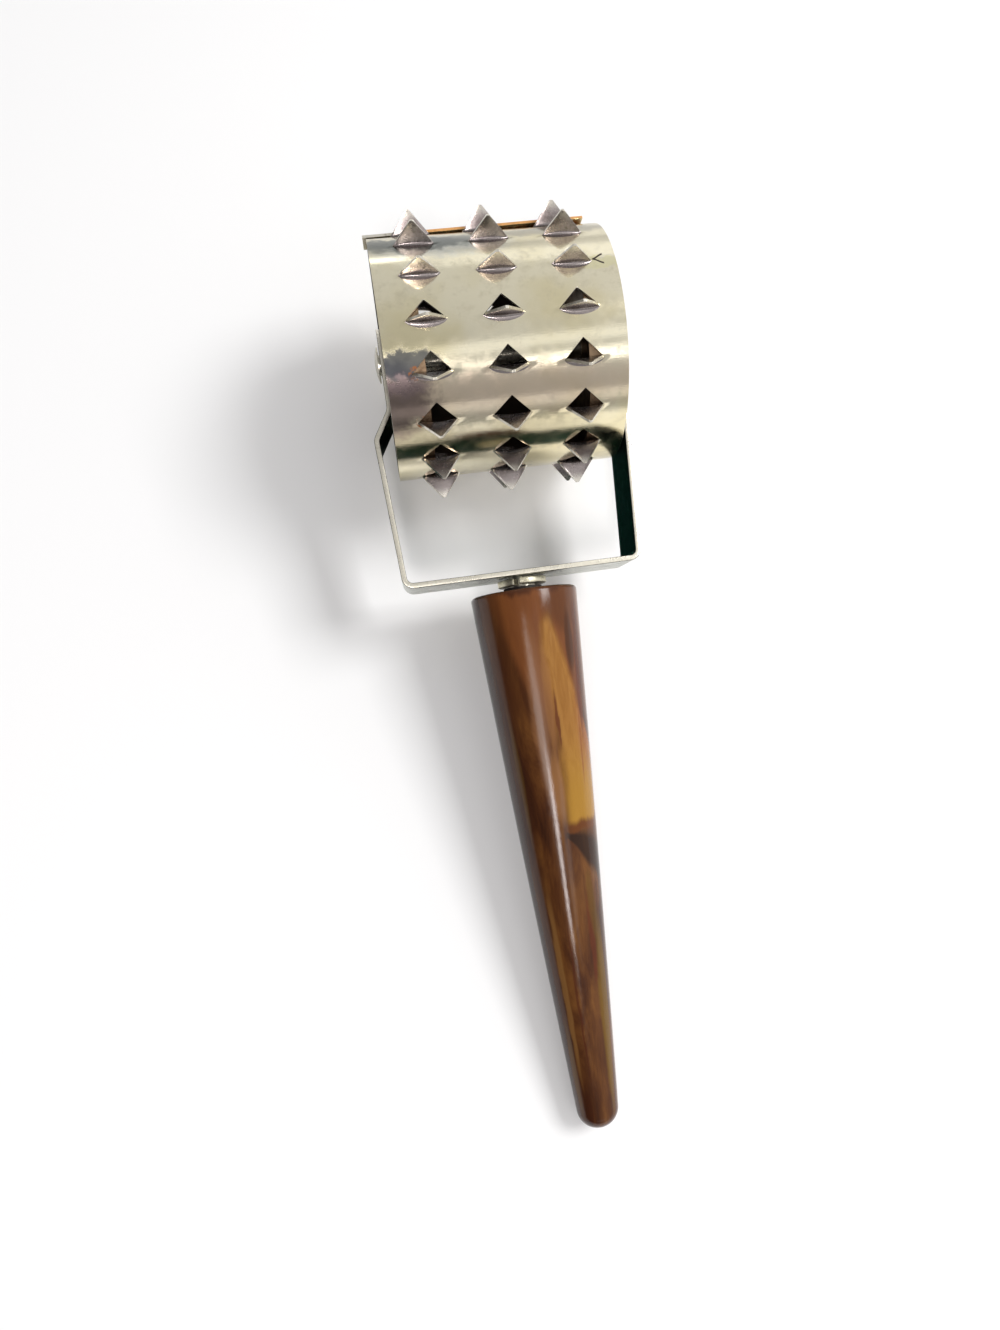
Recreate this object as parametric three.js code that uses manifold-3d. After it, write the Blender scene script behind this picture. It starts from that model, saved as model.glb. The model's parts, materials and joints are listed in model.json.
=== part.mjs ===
// Roller meat tenderizer: a punched sheet drum that rolls on a riveted pin in a bent strip yoke,
// with a tapered cast handle on a stud. Lengths are in millimetres and angles in degrees.
//
// The tool lies on a table as it is put down: two rows of teeth and the handle's end touch z = 0.
// +X is the drum's axis, -Y runs down the handle and +Z is up. The origin is under the middle of
// the bounding box. The tool itself is modelled level, with the pin at its origin, and then tilted.

import * as THREE from 'three';
import { mergeVertices } from 'three/addons/utils/BufferGeometryUtils.js';
import Module from 'manifold-3d';

const wasm = await Module();
wasm.setup();

// Driving dimensions

const runningGap = 0.3;
const cutOverrun = 2;

const drum = {
  radius: 27,
  length: 52.2,
  sheet: 0.6,
  sideShift: 1,
  rows: 16,
  columns: 3,
  columnPitch: 16.3,
  facets: 64,
};

const tooth = {
  halfWidth: 4.5,
  holeHeight: 4.5,
  height: 5.3,
  leanAngle: 4.1,
  tipHalfWidth: 0.25,
  lipLength: 1.6,
  lipRise: 1.1,
  root: 0.5,
};

const lap = {
  leftEnd: -17,
  rightEnd: 24,
  leftLift: 1.1,
  rightLift: 1.9,
  edgeAngle: 4.5,
  rootAngle: 18.5,
  steps: 5,
};

const disc = {
  sheet: 0.8,
  recess: 3,
  flangeDepth: 5.5,
  bendRadius: 1.4,
  collarDepth: 2.2,
  facets: 48,
};

const pin = {
  radius: 2.4,
  headRadius: 4.1,
  headHeight: 1,
  facets: 24,
};

const yoke = {
  width: 16,
  strip: 1.2,
  windowDepth: 20.3,
  endPlay: 0.5,
  sideClearance: 1.4,
  flare: 1.9,
  bendDrop: 19.4,
  jogDrop: 12.8,
  cornerRadius: 2.6,
  jogRadius: 3,
  cornerSteps: 5,
  endFacets: 16,
};

const stud = {
  radius: 3.1,
  headRadius: 4.2,
  headSink: 0.05,
  gripLength: 28,
  facets: 24,
};

const lockWasher = {
  outerRadius: 5.8,
  thickness: 1.55,
  rise: 0.2,
  splitAngle: 12,
  splitTurn: 250,
  facets: 30,
};

const neckWasher = {
  radius: 4.6,
  thickness: 0.85,
  facets: 30,
};

const handle = {
  length: 127.6,
  topRadius: 12.7,
  endRadius: 5,
  belly: 0.2,
  topRounding: 1,
  endRounding: 4.3,
  holeClearance: 1.5,
  facets: 48,
  taperSteps: 6,
  roundingSteps: 3,
  endSteps: 5,
};

// Places worked out from the driving dimensions

const radians = THREE.MathUtils.degToRad;
const rowPitch = 360 / drum.rows;
const tipRadius = Math.hypot(
  drum.radius + tooth.height * Math.cos(radians(tooth.leanAngle)),
  tooth.height * Math.sin(radians(tooth.leanAngle)),
);
const tipLead = THREE.MathUtils.radToDeg(
  Math.asin((tooth.height * Math.sin(radians(tooth.leanAngle))) / tipRadius),
);
const axleHeight = tipRadius * Math.cos(radians(rowPitch / 2));

// The arms stand clear of the drum's end where they pass its rim, step in to the discs at the pin
// and draw together towards the crossbar. The crossbar's face is its outer one, the handle's side.
const drumReach = drum.length / 2 + drum.sideShift;
const armEnd = drumReach - disc.recess + yoke.endPlay + yoke.strip;
const armBend = drumReach + yoke.sideClearance + yoke.strip;
const armFoot = armBend - yoke.flare;
const barFace = tipRadius + yoke.windowDepth + yoke.strip;

const lockWasherFace = barFace + runningGap;
const neckWasherFace = lockWasherFace + lockWasher.thickness + lockWasher.rise + runningGap;
const handleTop = neckWasherFace + neckWasher.thickness + runningGap;
const handleTip = handleTop + handle.length;

// The end's rounding is part of a ring: its middle circle lies at endCentre down the handle and
// endOffset out from the axis. The tool tilts until the rounding touches the table.
const endCentre = handleTip - handle.endRounding;
const endOffset = handle.endRadius - handle.endRounding;
const tilt = THREE.MathUtils.radToDeg(
  Math.asin((axleHeight - handle.endRounding) / Math.hypot(endCentre, endOffset))
    - Math.atan2(endOffset, endCentre),
);

// Row angles are counted from straight up over the pin towards the handle. They are set so that
// two rows stand on the table once the tool is tilted.
const firstRowAngle = rowPitch / 2 - tilt - tipLead;
const rowAngle = (row) => firstRowAngle + row * rowPitch;

const handleReach = endCentre * Math.cos(radians(tilt)) + endOffset * Math.sin(radians(tilt))
  + handle.endRounding;
const toothReach = Math.max(
  ...Array.from({ length: drum.rows }, (_, row) =>
    tipRadius * Math.cos(radians(rowAngle(row) + tipLead + tilt + 90))),
);
const axlePlace = new THREE.Vector3(0, (handleReach - toothReach) / 2, axleHeight);

// Materials

const finish = (color, metalness, roughness) =>
  new THREE.MeshStandardMaterial({ color, metalness, roughness });
const platedSheet = finish(0xb9b59c, 0.95, 0.25);
const platedStrip = finish(0xcfceb8, 0.95, 0.22);
const dullSteel = finish(0x6c5a48, 0.85, 0.5);
const brightSteel = finish(0xd8d4bf, 0.95, 0.28);
const darkFibre = finish(0x1c1512, 0, 0.7);
const castResin = finish(0x6d3d1d, 0, 0.12);

// Tools for shapes

function toSolid(geometry) {
  const plain = geometry.clone();
  plain.deleteAttribute('normal');
  plain.deleteAttribute('uv');
  const merged = mergeVertices(plain);
  return new wasm.Manifold(new wasm.Mesh({
    numProp: 3,
    vertProperties: new Float32Array(merged.attributes.position.array),
    triVerts: new Uint32Array(merged.index.array),
  }));
}

function toGeometry(solid) {
  const mesh = solid.getMesh();
  const geometry = new THREE.BufferGeometry();
  geometry.setAttribute('position', new THREE.BufferAttribute(mesh.vertProperties, 3));
  geometry.setIndex(new THREE.BufferAttribute(mesh.triVerts, 1));
  return geometry;
}

function namedMesh(name, geometry, material) {
  const mesh = new THREE.Mesh(geometry, material);
  mesh.name = name;
  return mesh;
}

// Turns a profile of [radius, place] pairs about the X axis, where place runs along X.
function turnAboutX(profile, facets) {
  const points = profile.map(([radius, place]) => new THREE.Vector2(radius, place));
  return new THREE.LatheGeometry(points, facets).rotateZ(radians(-90));
}

// Turns a profile of [radius, drop] pairs about the handle's axis, where drop runs down from the
// pin towards the handle's end.
function turnAboutHandle(profile, facets) {
  const points = profile.map(([radius, drop]) => new THREE.Vector2(radius, -drop));
  return new THREE.LatheGeometry(points.reverse(), facets);
}

// Points on a quarter of a circle or any other arc, from one angle to another.
function arcPoints(centreAcross, centreAlong, radius, fromAngle, toAngle, steps) {
  return Array.from({ length: steps + 1 }, (_, step) => {
    const angle = radians(fromAngle + ((toAngle - fromAngle) * step) / steps);
    return [centreAcross + radius * Math.cos(angle), centreAlong + radius * Math.sin(angle)];
  });
}

// Makes a closed body from rings of points, all rings with the same even number of points, and
// caps the first and last ring by joining each point to the one across from it. Each ring runs
// the same way round, clockwise when seen from the first ring along the row of rings.
function bodyFromRings(rings) {
  const sides = rings[0].length;
  const positions = rings.flat().flatMap((point) => [point.x, point.y, point.z]);
  const index = [];
  for (let ring = 0; ring < rings.length - 1; ring += 1) {
    for (let side = 0; side < sides; side += 1) {
      const here = ring * sides + side;
      const beside = ring * sides + ((side + 1) % sides);
      index.push(here, beside, here + sides);
      index.push(beside, beside + sides, here + sides);
    }
  }
  const last = (rings.length - 1) * sides;
  for (let side = 0; side < sides / 2 - 1; side += 1) {
    const across = sides - 1 - side;
    index.push(side, across - 1, side + 1);
    index.push(side, across, across - 1);
    index.push(last + side, last + side + 1, last + across - 1);
    index.push(last + side, last + across - 1, last + across);
  }
  const geometry = new THREE.BufferGeometry();
  geometry.setAttribute('position', new THREE.Float32BufferAttribute(positions, 3));
  geometry.setIndex(index);
  return geometry;
}

// Rounds the inner corners of a chain of [x, y] points with tangent arcs of the given radii.
function roundedChain(points, radii, steps) {
  const chain = [new THREE.Vector2(...points[0])];
  for (let place = 1; place < points.length - 1; place += 1) {
    const corner = new THREE.Vector2(...points[place]);
    const back = new THREE.Vector2(...points[place - 1]).sub(corner).normalize();
    const ahead = new THREE.Vector2(...points[place + 1]).sub(corner).normalize();
    const halfAngle = Math.acos(THREE.MathUtils.clamp(back.dot(ahead), -1, 1)) / 2;
    const reach = radii[place - 1] / Math.tan(halfAngle);
    const start = corner.clone().addScaledVector(back, reach);
    const end = corner.clone().addScaledVector(ahead, reach);
    const bisector = back.clone().add(ahead).normalize();
    const centre = corner.clone().addScaledVector(bisector, radii[place - 1] / Math.sin(halfAngle));
    for (let step = 0; step <= steps; step += 1) {
      const chord = start.clone().lerp(end, step / steps).sub(centre);
      chord.setLength(radii[place - 1]);
      chain.push(chord.add(centre));
    }
  }
  chain.push(new THREE.Vector2(...points.at(-1)));
  return chain;
}

// Gives a chain of points a thickness to its left side, as the outline of a bent strip.
function stripOutline(chain, thickness) {
  const offset = chain.map((point, place) => {
    const before = chain[Math.max(place - 1, 0)];
    const after = chain[Math.min(place + 1, chain.length - 1)];
    const along = after.clone().sub(before).normalize();
    return new THREE.Vector2(point.x - along.y * thickness, point.y + along.x * thickness);
  });
  return new THREE.Shape([...chain, ...offset.reverse()]);
}

// The drum's sheet: a ring with triangular holes, the tabs bent out of them and the lapped end

// A point of the drum given by its place along X, its way round the drum from a row's base line
// towards the handle, and its height over the sheet.
function onDrum(row, across, along, height) {
  const base = radians(rowAngle(row));
  const outward = drum.radius + height;
  return new THREE.Vector3(
    across,
    -outward * Math.sin(base) - along * Math.cos(base),
    outward * Math.cos(base) - along * Math.sin(base),
  );
}

const columnPlace = (column) => (column - (drum.columns - 1) / 2) * drum.columnPitch;

function toothHole(row, column) {
  const middle = columnPlace(column);
  const depth = drum.sheet + cutOverrun;
  const outline = [
    [-tooth.halfWidth, 0],
    [0, -tooth.holeHeight],
    [tooth.halfWidth, 0],
    [tooth.halfWidth / 2, tooth.lipLength * lipShare(1 / 2)],
    [0, tooth.lipLength],
    [-tooth.halfWidth / 2, tooth.lipLength * lipShare(1 / 2)],
  ];
  const ring = (height) =>
    outline.map(([across, along]) => onDrum(row, middle + across, along, height));
  return toSolid(bodyFromRings([ring(cutOverrun), ring(-depth)]));
}

// How far the pressed lip reaches at a share of the tooth's half width from its middle.
function lipShare(share) {
  const cornerShare = 0.12;
  return 1 - (1 - cornerShare) * share * share;
}

// The middle line of the bent sheet at one share of the width: the root hidden in the ring, the
// pressed lip, then the flat of the tab. Each stop has its place along, its height, the turn of
// the sheet from flat to upright and the half width there.
function tabStops(share) {
  const reach = lipShare(Math.abs(share));
  const lip = tooth.lipLength * reach;
  const flat = -drum.sheet / 2;
  const fold = tooth.lipRise * reach;
  const lean = radians(tooth.leanAngle);
  const midFold = 1 - Math.SQRT1_2;
  const stops = [
    { along: lip + tooth.root, height: flat, turn: 0, halfWidth: tooth.halfWidth },
    { along: lip, height: flat, turn: 0, halfWidth: tooth.halfWidth },
    {
      along: lip * midFold,
      height: THREE.MathUtils.lerp(flat, fold, midFold),
      turn: 45,
      halfWidth: tooth.halfWidth,
    },
  ];
  const tip = tooth.height * Math.cos(lean);
  const upright = 90 + tooth.leanAngle;
  stops.push({ along: 0, height: fold, turn: upright, halfWidth: tooth.halfWidth });
  stops.push({
    along: tooth.height * Math.sin(lean),
    height: tip,
    turn: upright,
    halfWidth: tooth.tipHalfWidth,
  });
  return stops;
}

function toothTab(row, column) {
  const middle = columnPlace(column);
  const widthShares = [-1, -0.4, 0.4, 1];
  const half = drum.sheet / 2;
  const columns = widthShares.map((share) => tabStops(share).map((stop, place) => {
    const thinning = place === 0 ? 1 / 2 : 1;
    const turn = radians(stop.turn);
    const side = (way) => onDrum(
      row,
      middle + stop.halfWidth * share,
      stop.along + way * half * thinning * Math.sin(turn),
      stop.height + way * half * thinning * Math.cos(turn),
    );
    return { outer: side(1), inner: side(-1) };
  }));
  const rings = columns[0].map((_, place) => [
    ...columns.map((stops) => stops[place].outer),
    ...columns.map((stops) => stops[place].inner).reverse(),
  ]);
  return toSolid(bodyFromRings(rings));
}

// The sheet's outer end laps over the start between two rows of teeth and springs a little away.
function lappedEnd() {
  const edgeRow = -3;
  const half = drum.sheet / 2;
  const ring = (step) => {
    const way = step / lap.steps;
    const angle = THREE.MathUtils.lerp(lap.rootAngle, lap.edgeAngle, way);
    const turn = radians(rowAngle(edgeRow) - angle);
    const corner = (across, height) => new THREE.Vector3(
      across,
      -(drum.radius + height) * Math.sin(turn),
      (drum.radius + height) * Math.cos(turn),
    );
    const rise = (lift) => (lift + half) * way - half;
    return [
      corner(lap.leftEnd, rise(lap.leftLift) - half * way),
      corner(lap.rightEnd, rise(lap.rightLift) - half * way),
      corner(lap.rightEnd, rise(lap.rightLift) + half * (1 + way) * way),
      corner(lap.leftEnd, rise(lap.leftLift) + half * (1 + way) * way),
    ];
  };
  return toSolid(bodyFromRings(Array.from({ length: lap.steps + 1 }, (_, step) => ring(step))));
}

function drumSheet() {
  const inner = drum.radius - drum.sheet;
  const end = drum.length / 2;
  const profile = [[inner, -end], [drum.radius, -end], [drum.radius, end], [inner, end], [inner, -end]];
  let sheet = toSolid(turnAboutX(profile, drum.facets));
  const holes = [];
  const tabs = [];
  for (let row = 0; row < drum.rows; row += 1) {
    for (let column = 0; column < drum.columns; column += 1) {
      holes.push(toothHole(row, column));
      tabs.push(toothTab(row, column));
    }
  }
  sheet = holes.reduce((solid, hole) => solid.subtract(hole), sheet);
  sheet = tabs.reduce((solid, tab) => solid.add(tab), sheet.add(lappedEnd()));
  return namedMesh('drum_sheet', toGeometry(sheet), platedSheet);
}

// A pressed end disc, with its flange turned into the drum and a drawn collar that runs on the pin
function endDisc(side) {
  const rim = drum.radius - drum.sheet - runningGap;
  const bore = pin.radius + runningGap;
  const face = drum.length / 2 - disc.recess;
  const back = face - disc.sheet;
  const outerBend = disc.bendRadius;
  const innerBend = disc.bendRadius - disc.sheet;
  const bendSteps = 3;
  const profile = [
    [bore, face],
    ...arcPoints(rim - outerBend, face - outerBend, outerBend, 90, 0, bendSteps),
    [rim, face - disc.flangeDepth],
    [rim - disc.sheet, face - disc.flangeDepth],
    ...arcPoints(rim - outerBend, face - outerBend, innerBend, 0, 90, bendSteps),
    [bore + disc.sheet, back],
    [bore + disc.sheet, face - disc.collarDepth],
    [bore, face - disc.collarDepth],
    [bore, face],
  ];
  const geometry = turnAboutX(profile.reverse(), disc.facets);
  if (side < 0) geometry.rotateY(Math.PI);
  const name = side < 0 ? 'end_disc_left' : 'end_disc_right';
  return namedMesh(name, geometry, dullSteel);
}

// The pin through both arms, with a low domed head on each end
function axlePin() {
  const seat = armEnd + runningGap;
  const domeShares = [[1, 0], [0.96, 0.45], [0.75, 0.8], [0.4, 0.97], [0, 1]];
  const dome = domeShares.map(([across, rise]) =>
    [pin.headRadius * across, seat + pin.headHeight * rise]);
  const rightHalf = [[pin.radius, seat], ...dome];
  const leftHalf = rightHalf.map(([radius, place]) => [radius, -place]).reverse();
  return namedMesh('axle_pin', turnAboutX([...leftHalf, ...rightHalf], pin.facets), brightSteel);
}

// The yoke: one strip bent round the drum, with rounded ends, pin holes and a countersunk hole

function yokeSideView() {
  const outer = [
    [-armEnd, yoke.width / 2],
    [-armEnd, -yoke.jogDrop],
    [-armBend, -yoke.bendDrop],
    [-armFoot, -barFace],
  ];
  const mirrored = outer.map(([across, along]) => [-across, along]).reverse();
  const radii = [yoke.jogRadius, yoke.jogRadius, yoke.cornerRadius];
  const allRadii = [...radii, ...radii.slice().reverse()];
  const chain = roundedChain([...outer, ...mirrored], allRadii, yoke.cornerSteps);
  return stripOutline(chain, yoke.strip);
}

function yokeFrontLimit() {
  const half = yoke.width / 2;
  const shape = new THREE.Shape();
  shape.moveTo(half, -barFace - cutOverrun);
  shape.lineTo(half, 0);
  shape.absarc(0, 0, half, 0, Math.PI, false);
  shape.lineTo(-half, -barFace - cutOverrun);
  shape.closePath();
  const depth = 2 * (armBend + cutOverrun);
  const options = { depth, bevelEnabled: false, curveSegments: yoke.endFacets };
  const limit = new THREE.ExtrudeGeometry(shape, options);
  return limit.translate(0, 0, -depth / 2).rotateY(radians(90));
}

function yokeStrip() {
  const bent = new THREE.ExtrudeGeometry(yokeSideView(), { depth: yoke.width, bevelEnabled: false });
  bent.translate(0, 0, -yoke.width / 2);
  const boreLength = 2 * (armBend + cutOverrun);
  const pinBore = new THREE.CylinderGeometry(
    pin.radius + runningGap, pin.radius + runningGap, boreLength, pin.facets);
  pinBore.rotateZ(radians(90));
  const bore = stud.radius + runningGap;
  const seat = stud.headRadius + runningGap;
  const inside = barFace - yoke.strip;
  const studBore = turnAboutHandle([
    [0, inside - cutOverrun],
    [seat, inside - cutOverrun],
    [seat, inside],
    [bore, inside + seat - bore],
    [bore, barFace + cutOverrun],
    [0, barFace + cutOverrun],
  ], stud.facets);
  const strip = toSolid(bent)
    .intersect(toSolid(yokeFrontLimit()))
    .subtract(toSolid(pinBore))
    .subtract(toSolid(studBore));
  return namedMesh('yoke', toGeometry(strip), platedStrip);
}

// The stud, flush in the crossbar and run into the handle
function handleStud() {
  const head = barFace - yoke.strip + stud.headSink;
  return namedMesh('handle_stud', turnAboutHandle([
    [0, head],
    [stud.headRadius, head],
    [stud.radius, head + stud.headRadius - stud.radius],
    [stud.radius, handleTop + stud.gripLength],
    [0, handleTop + stud.gripLength],
  ], stud.facets), brightSteel);
}

// A split spring washer: a square section taken once round with a small rise
function splitWasher() {
  const inner = stud.radius + runningGap;
  const turn = 360 - lockWasher.splitAngle;
  const ring = (step) => {
    const way = step / lockWasher.facets;
    const angle = radians(lockWasher.splitTurn + lockWasher.splitAngle / 2 + turn * way);
    const top = lockWasherFace + lockWasher.rise * way;
    const corner = (radius, drop) =>
      new THREE.Vector3(radius * Math.cos(angle), -drop, -radius * Math.sin(angle));
    return [
      corner(inner, top),
      corner(lockWasher.outerRadius, top),
      corner(lockWasher.outerRadius, top + lockWasher.thickness),
      corner(inner, top + lockWasher.thickness),
    ];
  };
  const rings = Array.from({ length: lockWasher.facets + 1 }, (_, step) => ring(step));
  return namedMesh('lock_washer', bodyFromRings(rings), brightSteel);
}

function flatNeckWasher() {
  const inner = stud.radius + runningGap;
  const end = neckWasherFace + neckWasher.thickness;
  return namedMesh('neck_washer', turnAboutHandle([
    [inner, neckWasherFace],
    [neckWasher.radius, neckWasherFace],
    [neckWasher.radius, end],
    [inner, end],
    [inner, neckWasherFace],
  ], neckWasher.facets), darkFibre);
}

// The cast handle: a long taper with a slight belly, a blunt rounded end and a blind hole for
// the stud
function castHandle() {
  const bore = stud.radius + runningGap;
  const holeEnd = handleTop + stud.gripLength + handle.holeClearance;
  const taper = Math.asin((handle.topRadius - handle.endRadius) / (endCentre - handleTop));
  const taperAngle = THREE.MathUtils.radToDeg(taper);
  const rounding = arcPoints(
    handle.topRadius - handle.topRounding, handleTop + handle.topRounding,
    handle.topRounding, -90, taperAngle, handle.roundingSteps);
  const end = arcPoints(endOffset, endCentre, handle.endRounding, taperAngle, 90, handle.endSteps);
  const [topRadius, topDrop] = rounding.at(-1);
  const [footRadius, footDrop] = end[0];
  const side = Array.from({ length: handle.taperSteps - 1 }, (_, step) => {
    const share = (step + 1) / handle.taperSteps;
    return [
      THREE.MathUtils.lerp(topRadius, footRadius, share) + handle.belly * Math.sin(Math.PI * share),
      THREE.MathUtils.lerp(topDrop, footDrop, share),
    ];
  });
  return namedMesh('handle', turnAboutHandle([
    [0, holeEnd],
    [bore, holeEnd],
    [bore, handleTop],
    ...rounding,
    ...side,
    ...end,
    [0, handleTip],
  ], handle.facets), castResin);
}

// Assembly

const roller = new THREE.Group();
roller.add(drumSheet(), endDisc(-1), endDisc(1));
roller.position.x = drum.sideShift;

const tool = new THREE.Group();
tool.add(roller, axlePin(), yokeStrip(), handleStud(), splitWasher(), flatNeckWasher(), castHandle());
tool.rotation.x = radians(tilt);
tool.position.copy(axlePlace);

const tenderizer = new THREE.Group();
tenderizer.add(tool);

export default tenderizer;
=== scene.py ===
"""The roller meat tenderizer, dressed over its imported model.

Sizes are in millimetres in the tool's own frame: the pin's middle is the origin, +X runs along the
pin, -Y down the handle and +Z up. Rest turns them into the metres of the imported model's frame,
where the tool lies tilted on its teeth and its handle's end.
"""

import json
import logging
import math
from dataclasses import dataclass
from enum import Enum
from functools import cache, reduce
from typing import Callable, Sequence, Union

import bmesh
import bpy
from bmesh.types import BMEdge, BMesh, BMVert
from bpy.types import ID, Material, Mesh, Node, Object
from bpy.types import NodeSocket as Socket
from mathutils import Euler, Matrix, Vector


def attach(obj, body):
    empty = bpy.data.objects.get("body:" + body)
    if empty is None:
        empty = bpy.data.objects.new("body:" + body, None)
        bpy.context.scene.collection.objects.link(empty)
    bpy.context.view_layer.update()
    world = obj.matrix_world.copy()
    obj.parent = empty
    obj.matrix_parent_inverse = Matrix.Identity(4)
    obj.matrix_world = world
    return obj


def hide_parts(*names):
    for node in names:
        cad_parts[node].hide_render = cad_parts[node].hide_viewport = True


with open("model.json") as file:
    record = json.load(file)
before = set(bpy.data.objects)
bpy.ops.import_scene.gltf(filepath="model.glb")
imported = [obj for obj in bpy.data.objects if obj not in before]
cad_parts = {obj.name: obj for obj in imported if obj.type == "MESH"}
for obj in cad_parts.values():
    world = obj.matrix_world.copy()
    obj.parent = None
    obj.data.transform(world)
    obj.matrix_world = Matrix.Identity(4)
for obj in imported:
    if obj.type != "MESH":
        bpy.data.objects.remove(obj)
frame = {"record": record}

LOG = logging.getLogger("tenderizer")
MM = 0.001

# Sizes that several pieces share
DRUM_RADIUS = 27.0
DRUM_SHIFT = 1.0
STRIP = 1.2
BAR_FACE = 53.789
HANDLE_TOP = 57.289
STUD_BORE = 3.4

ALONG_PIN = Vector((1, 0, 0))
DOWN_HANDLE = Vector((0, -1, 0))
OUTWARDS = Vector((0, 0, 1))

# Limits for choosing and joining
TOUCHING = 0.001
NEAR = 0.01
SHARP = math.radians(60)

Value = Union[float, str, Sequence[float], Socket]
Triple = tuple[float, float, float]
Colour = tuple[float, float, float, float]
Band = tuple[float, ...]  # From low to high and, where they aren't 0 and 1, what these become
Pairs = Sequence[tuple[float, float]]


class Body(Enum):
    """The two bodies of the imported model."""

    YOKE = "yoke_and_handle"
    DRUM = "drum"


class Slot(Enum):
    """The record's material slots."""

    SHEET = "plated_sheet"
    DULL = "dull_steel"
    BRIGHT = "bright_steel"
    STRIP = "plated_strip"
    FIBRE = "dark_fibre"
    RESIN = "cast_resin"


@dataclass(frozen=True)
class Rest:
    """How the tool lies: where its pin is, in metres, and how far its handle tilts down."""

    axle: Vector
    tilt: float

    @classmethod
    def from_record(cls, record: dict) -> "Rest":
        """Read the pin's place from the hinge and the tilt from the crossbar's face.

        Args:
            record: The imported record.

        Returns:
            The place and tilt of the tool at rest.
        """
        hinge = record["behaviour"]["joints"][0]
        face = record["mounts"][0]["axis"]
        return cls(Vector(hinge["pos_m"]), math.atan2(face[2], face[1]))

    def matrix(self) -> Matrix:
        """Return the change from the tool's millimetres to the frame's metres."""
        turned = Matrix.Translation(self.axle) @ Matrix.Rotation(self.tilt, 4, "X")
        return turned @ Matrix.Scale(MM, 4)


REST = Rest.from_record(frame["record"])


# Shaping


def blend(start: float, end: float, share: float) -> float:
    """Return the value at a share of the way between two others."""
    return start + (end - start) * share


def of_kind(items: Sequence[object], kind: type) -> list:
    """Return the items of one kind."""
    return [item for item in items if isinstance(item, kind)]


def all_of(bm: BMesh) -> list:
    """Return all of a shape's corners, edges and faces."""
    return bm.verts[:] + bm.edges[:] + bm.faces[:]


def close_up(bm: BMesh) -> None:
    """Join the corners that touch and turn the faces outwards."""
    bmesh.ops.remove_doubles(bm, verts=bm.verts, dist=TOUCHING)
    bmesh.ops.recalc_face_normals(bm, faces=bm.faces)


class Outline:
    """A profile beside an axis, drawn point by point and then spun about it."""

    def __init__(self, axis: Vector, *points: tuple[float, float]) -> None:
        """Draw the profile's first points.

        Args:
            axis: The direction that the profile is spun about.
            points: Each point's distance from the axis and its place along it.
        """
        self.axis = axis
        self.bm = bmesh.new()
        self.last = self.bm.verts.new(self.place(*points[0]))
        self.lines(*points[1:])

    def place(self, radius: float, along: float) -> Vector:
        """Return where a profile point lies."""
        return OUTWARDS * radius + self.axis * along

    def lines(self, *points: tuple[float, float]) -> None:
        """Draw straight on to more points.

        Args:
            points: The points, as at the start.
        """
        for point in points:
            self.last = bmesh.ops.extrude_vert_indiv(self.bm, verts=[self.last])["verts"][0]
            self.last.co = self.place(*point)

    def arc(self, centre: tuple[float, float], degrees: float, steps: int) -> None:
        """Draw on round a centre.

        Args:
            centre: The arc's centre, as a profile point.
            degrees: How far the arc turns, from the outward direction towards the axis's.
            steps: How many straight pieces it has.
        """
        made = bmesh.ops.spin(
            self.bm,
            geom=[self.last],
            cent=self.place(*centre),
            axis=OUTWARDS.cross(self.axis),
            angle=math.radians(degrees),
            steps=steps,
            use_merge=False,
        )
        self.last = of_kind(made["geom_last"], BMVert)[0]

    def spun(self, segments: int) -> BMesh:
        """Spin the profile once round.

        Args:
            segments: How many facets the shape gets.

        Returns:
            A closed shape with its faces outwards.
        """
        bmesh.ops.spin(
            self.bm,
            geom=all_of(self.bm),
            cent=(0, 0, 0),
            axis=self.axis,
            angle=math.tau,
            steps=segments,
            use_merge=True,
        )
        close_up(self.bm)
        loose = [vert for vert in self.bm.verts if not vert.link_faces]
        bmesh.ops.delete(self.bm, geom=loose, context="VERTS")
        return self.bm

    def circle(self, radius: float, along: float) -> list[BMEdge]:
        """Find the spun shape's edges round a profile point.

        Args:
            radius: The point's distance from the axis.
            along: Its place along the axis.

        Returns:
            The circle's edges.
        """
        verts = {
            vert
            for vert in self.bm.verts
            if abs(vert.co.dot(self.axis) - along) < NEAR
            and abs(vert.co.cross(self.axis).length - radius) < NEAR
        }
        return [edge for edge in self.bm.edges if verts.issuperset(edge.verts)]


def round_edges(bm: BMesh, edges: Sequence[BMEdge], width: float, segments: int) -> None:
    """Round some edges of a shape.

    Args:
        bm: The shape.
        edges: The edges.
        width: How wide the rounding is.
        segments: How many facets it gets.
    """
    bmesh.ops.bevel(
        bm,
        geom=edges,
        offset=width,
        segments=segments,
        profile=0.5,
        affect="EDGES",
        material=-1,
        clamp_overlap=True,
    )


def sharp_edges(bm: BMesh) -> list[BMEdge]:
    """Return the edges whose faces meet at a sharp angle."""
    return [edge for edge in bm.edges if edge.is_manifold and edge.calc_face_angle(0) > SHARP]


def patch(
    bm: BMesh, columns: int, rows: int, lay: Callable[[float, float], Vector], finish: int = 0
) -> None:
    """Add a grid of quads and lay its points out by their shares across and along.

    Args:
        bm: The shape that it joins.
        columns: Quads across.
        rows: Quads along.
        lay: Gives the place of a point from its two shares, each from 0 to 1.
        finish: The place of the quads' finish.
    """
    made = bmesh.ops.create_grid(bm, x_segments=columns, y_segments=rows, size=0.5)
    for vert in made["verts"]:
        vert.co = lay(vert.co.x + 0.5, vert.co.y + 0.5)
        for face in vert.link_faces:
            face.material_index = finish


def shade(mesh: Mesh, smooth_angle: float) -> None:
    """Shade a mesh smooth but for the edges that are sharper than an angle."""
    mesh.shade_smooth()
    mesh.set_sharp_from_angle(angle=math.radians(smooth_angle))


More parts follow.
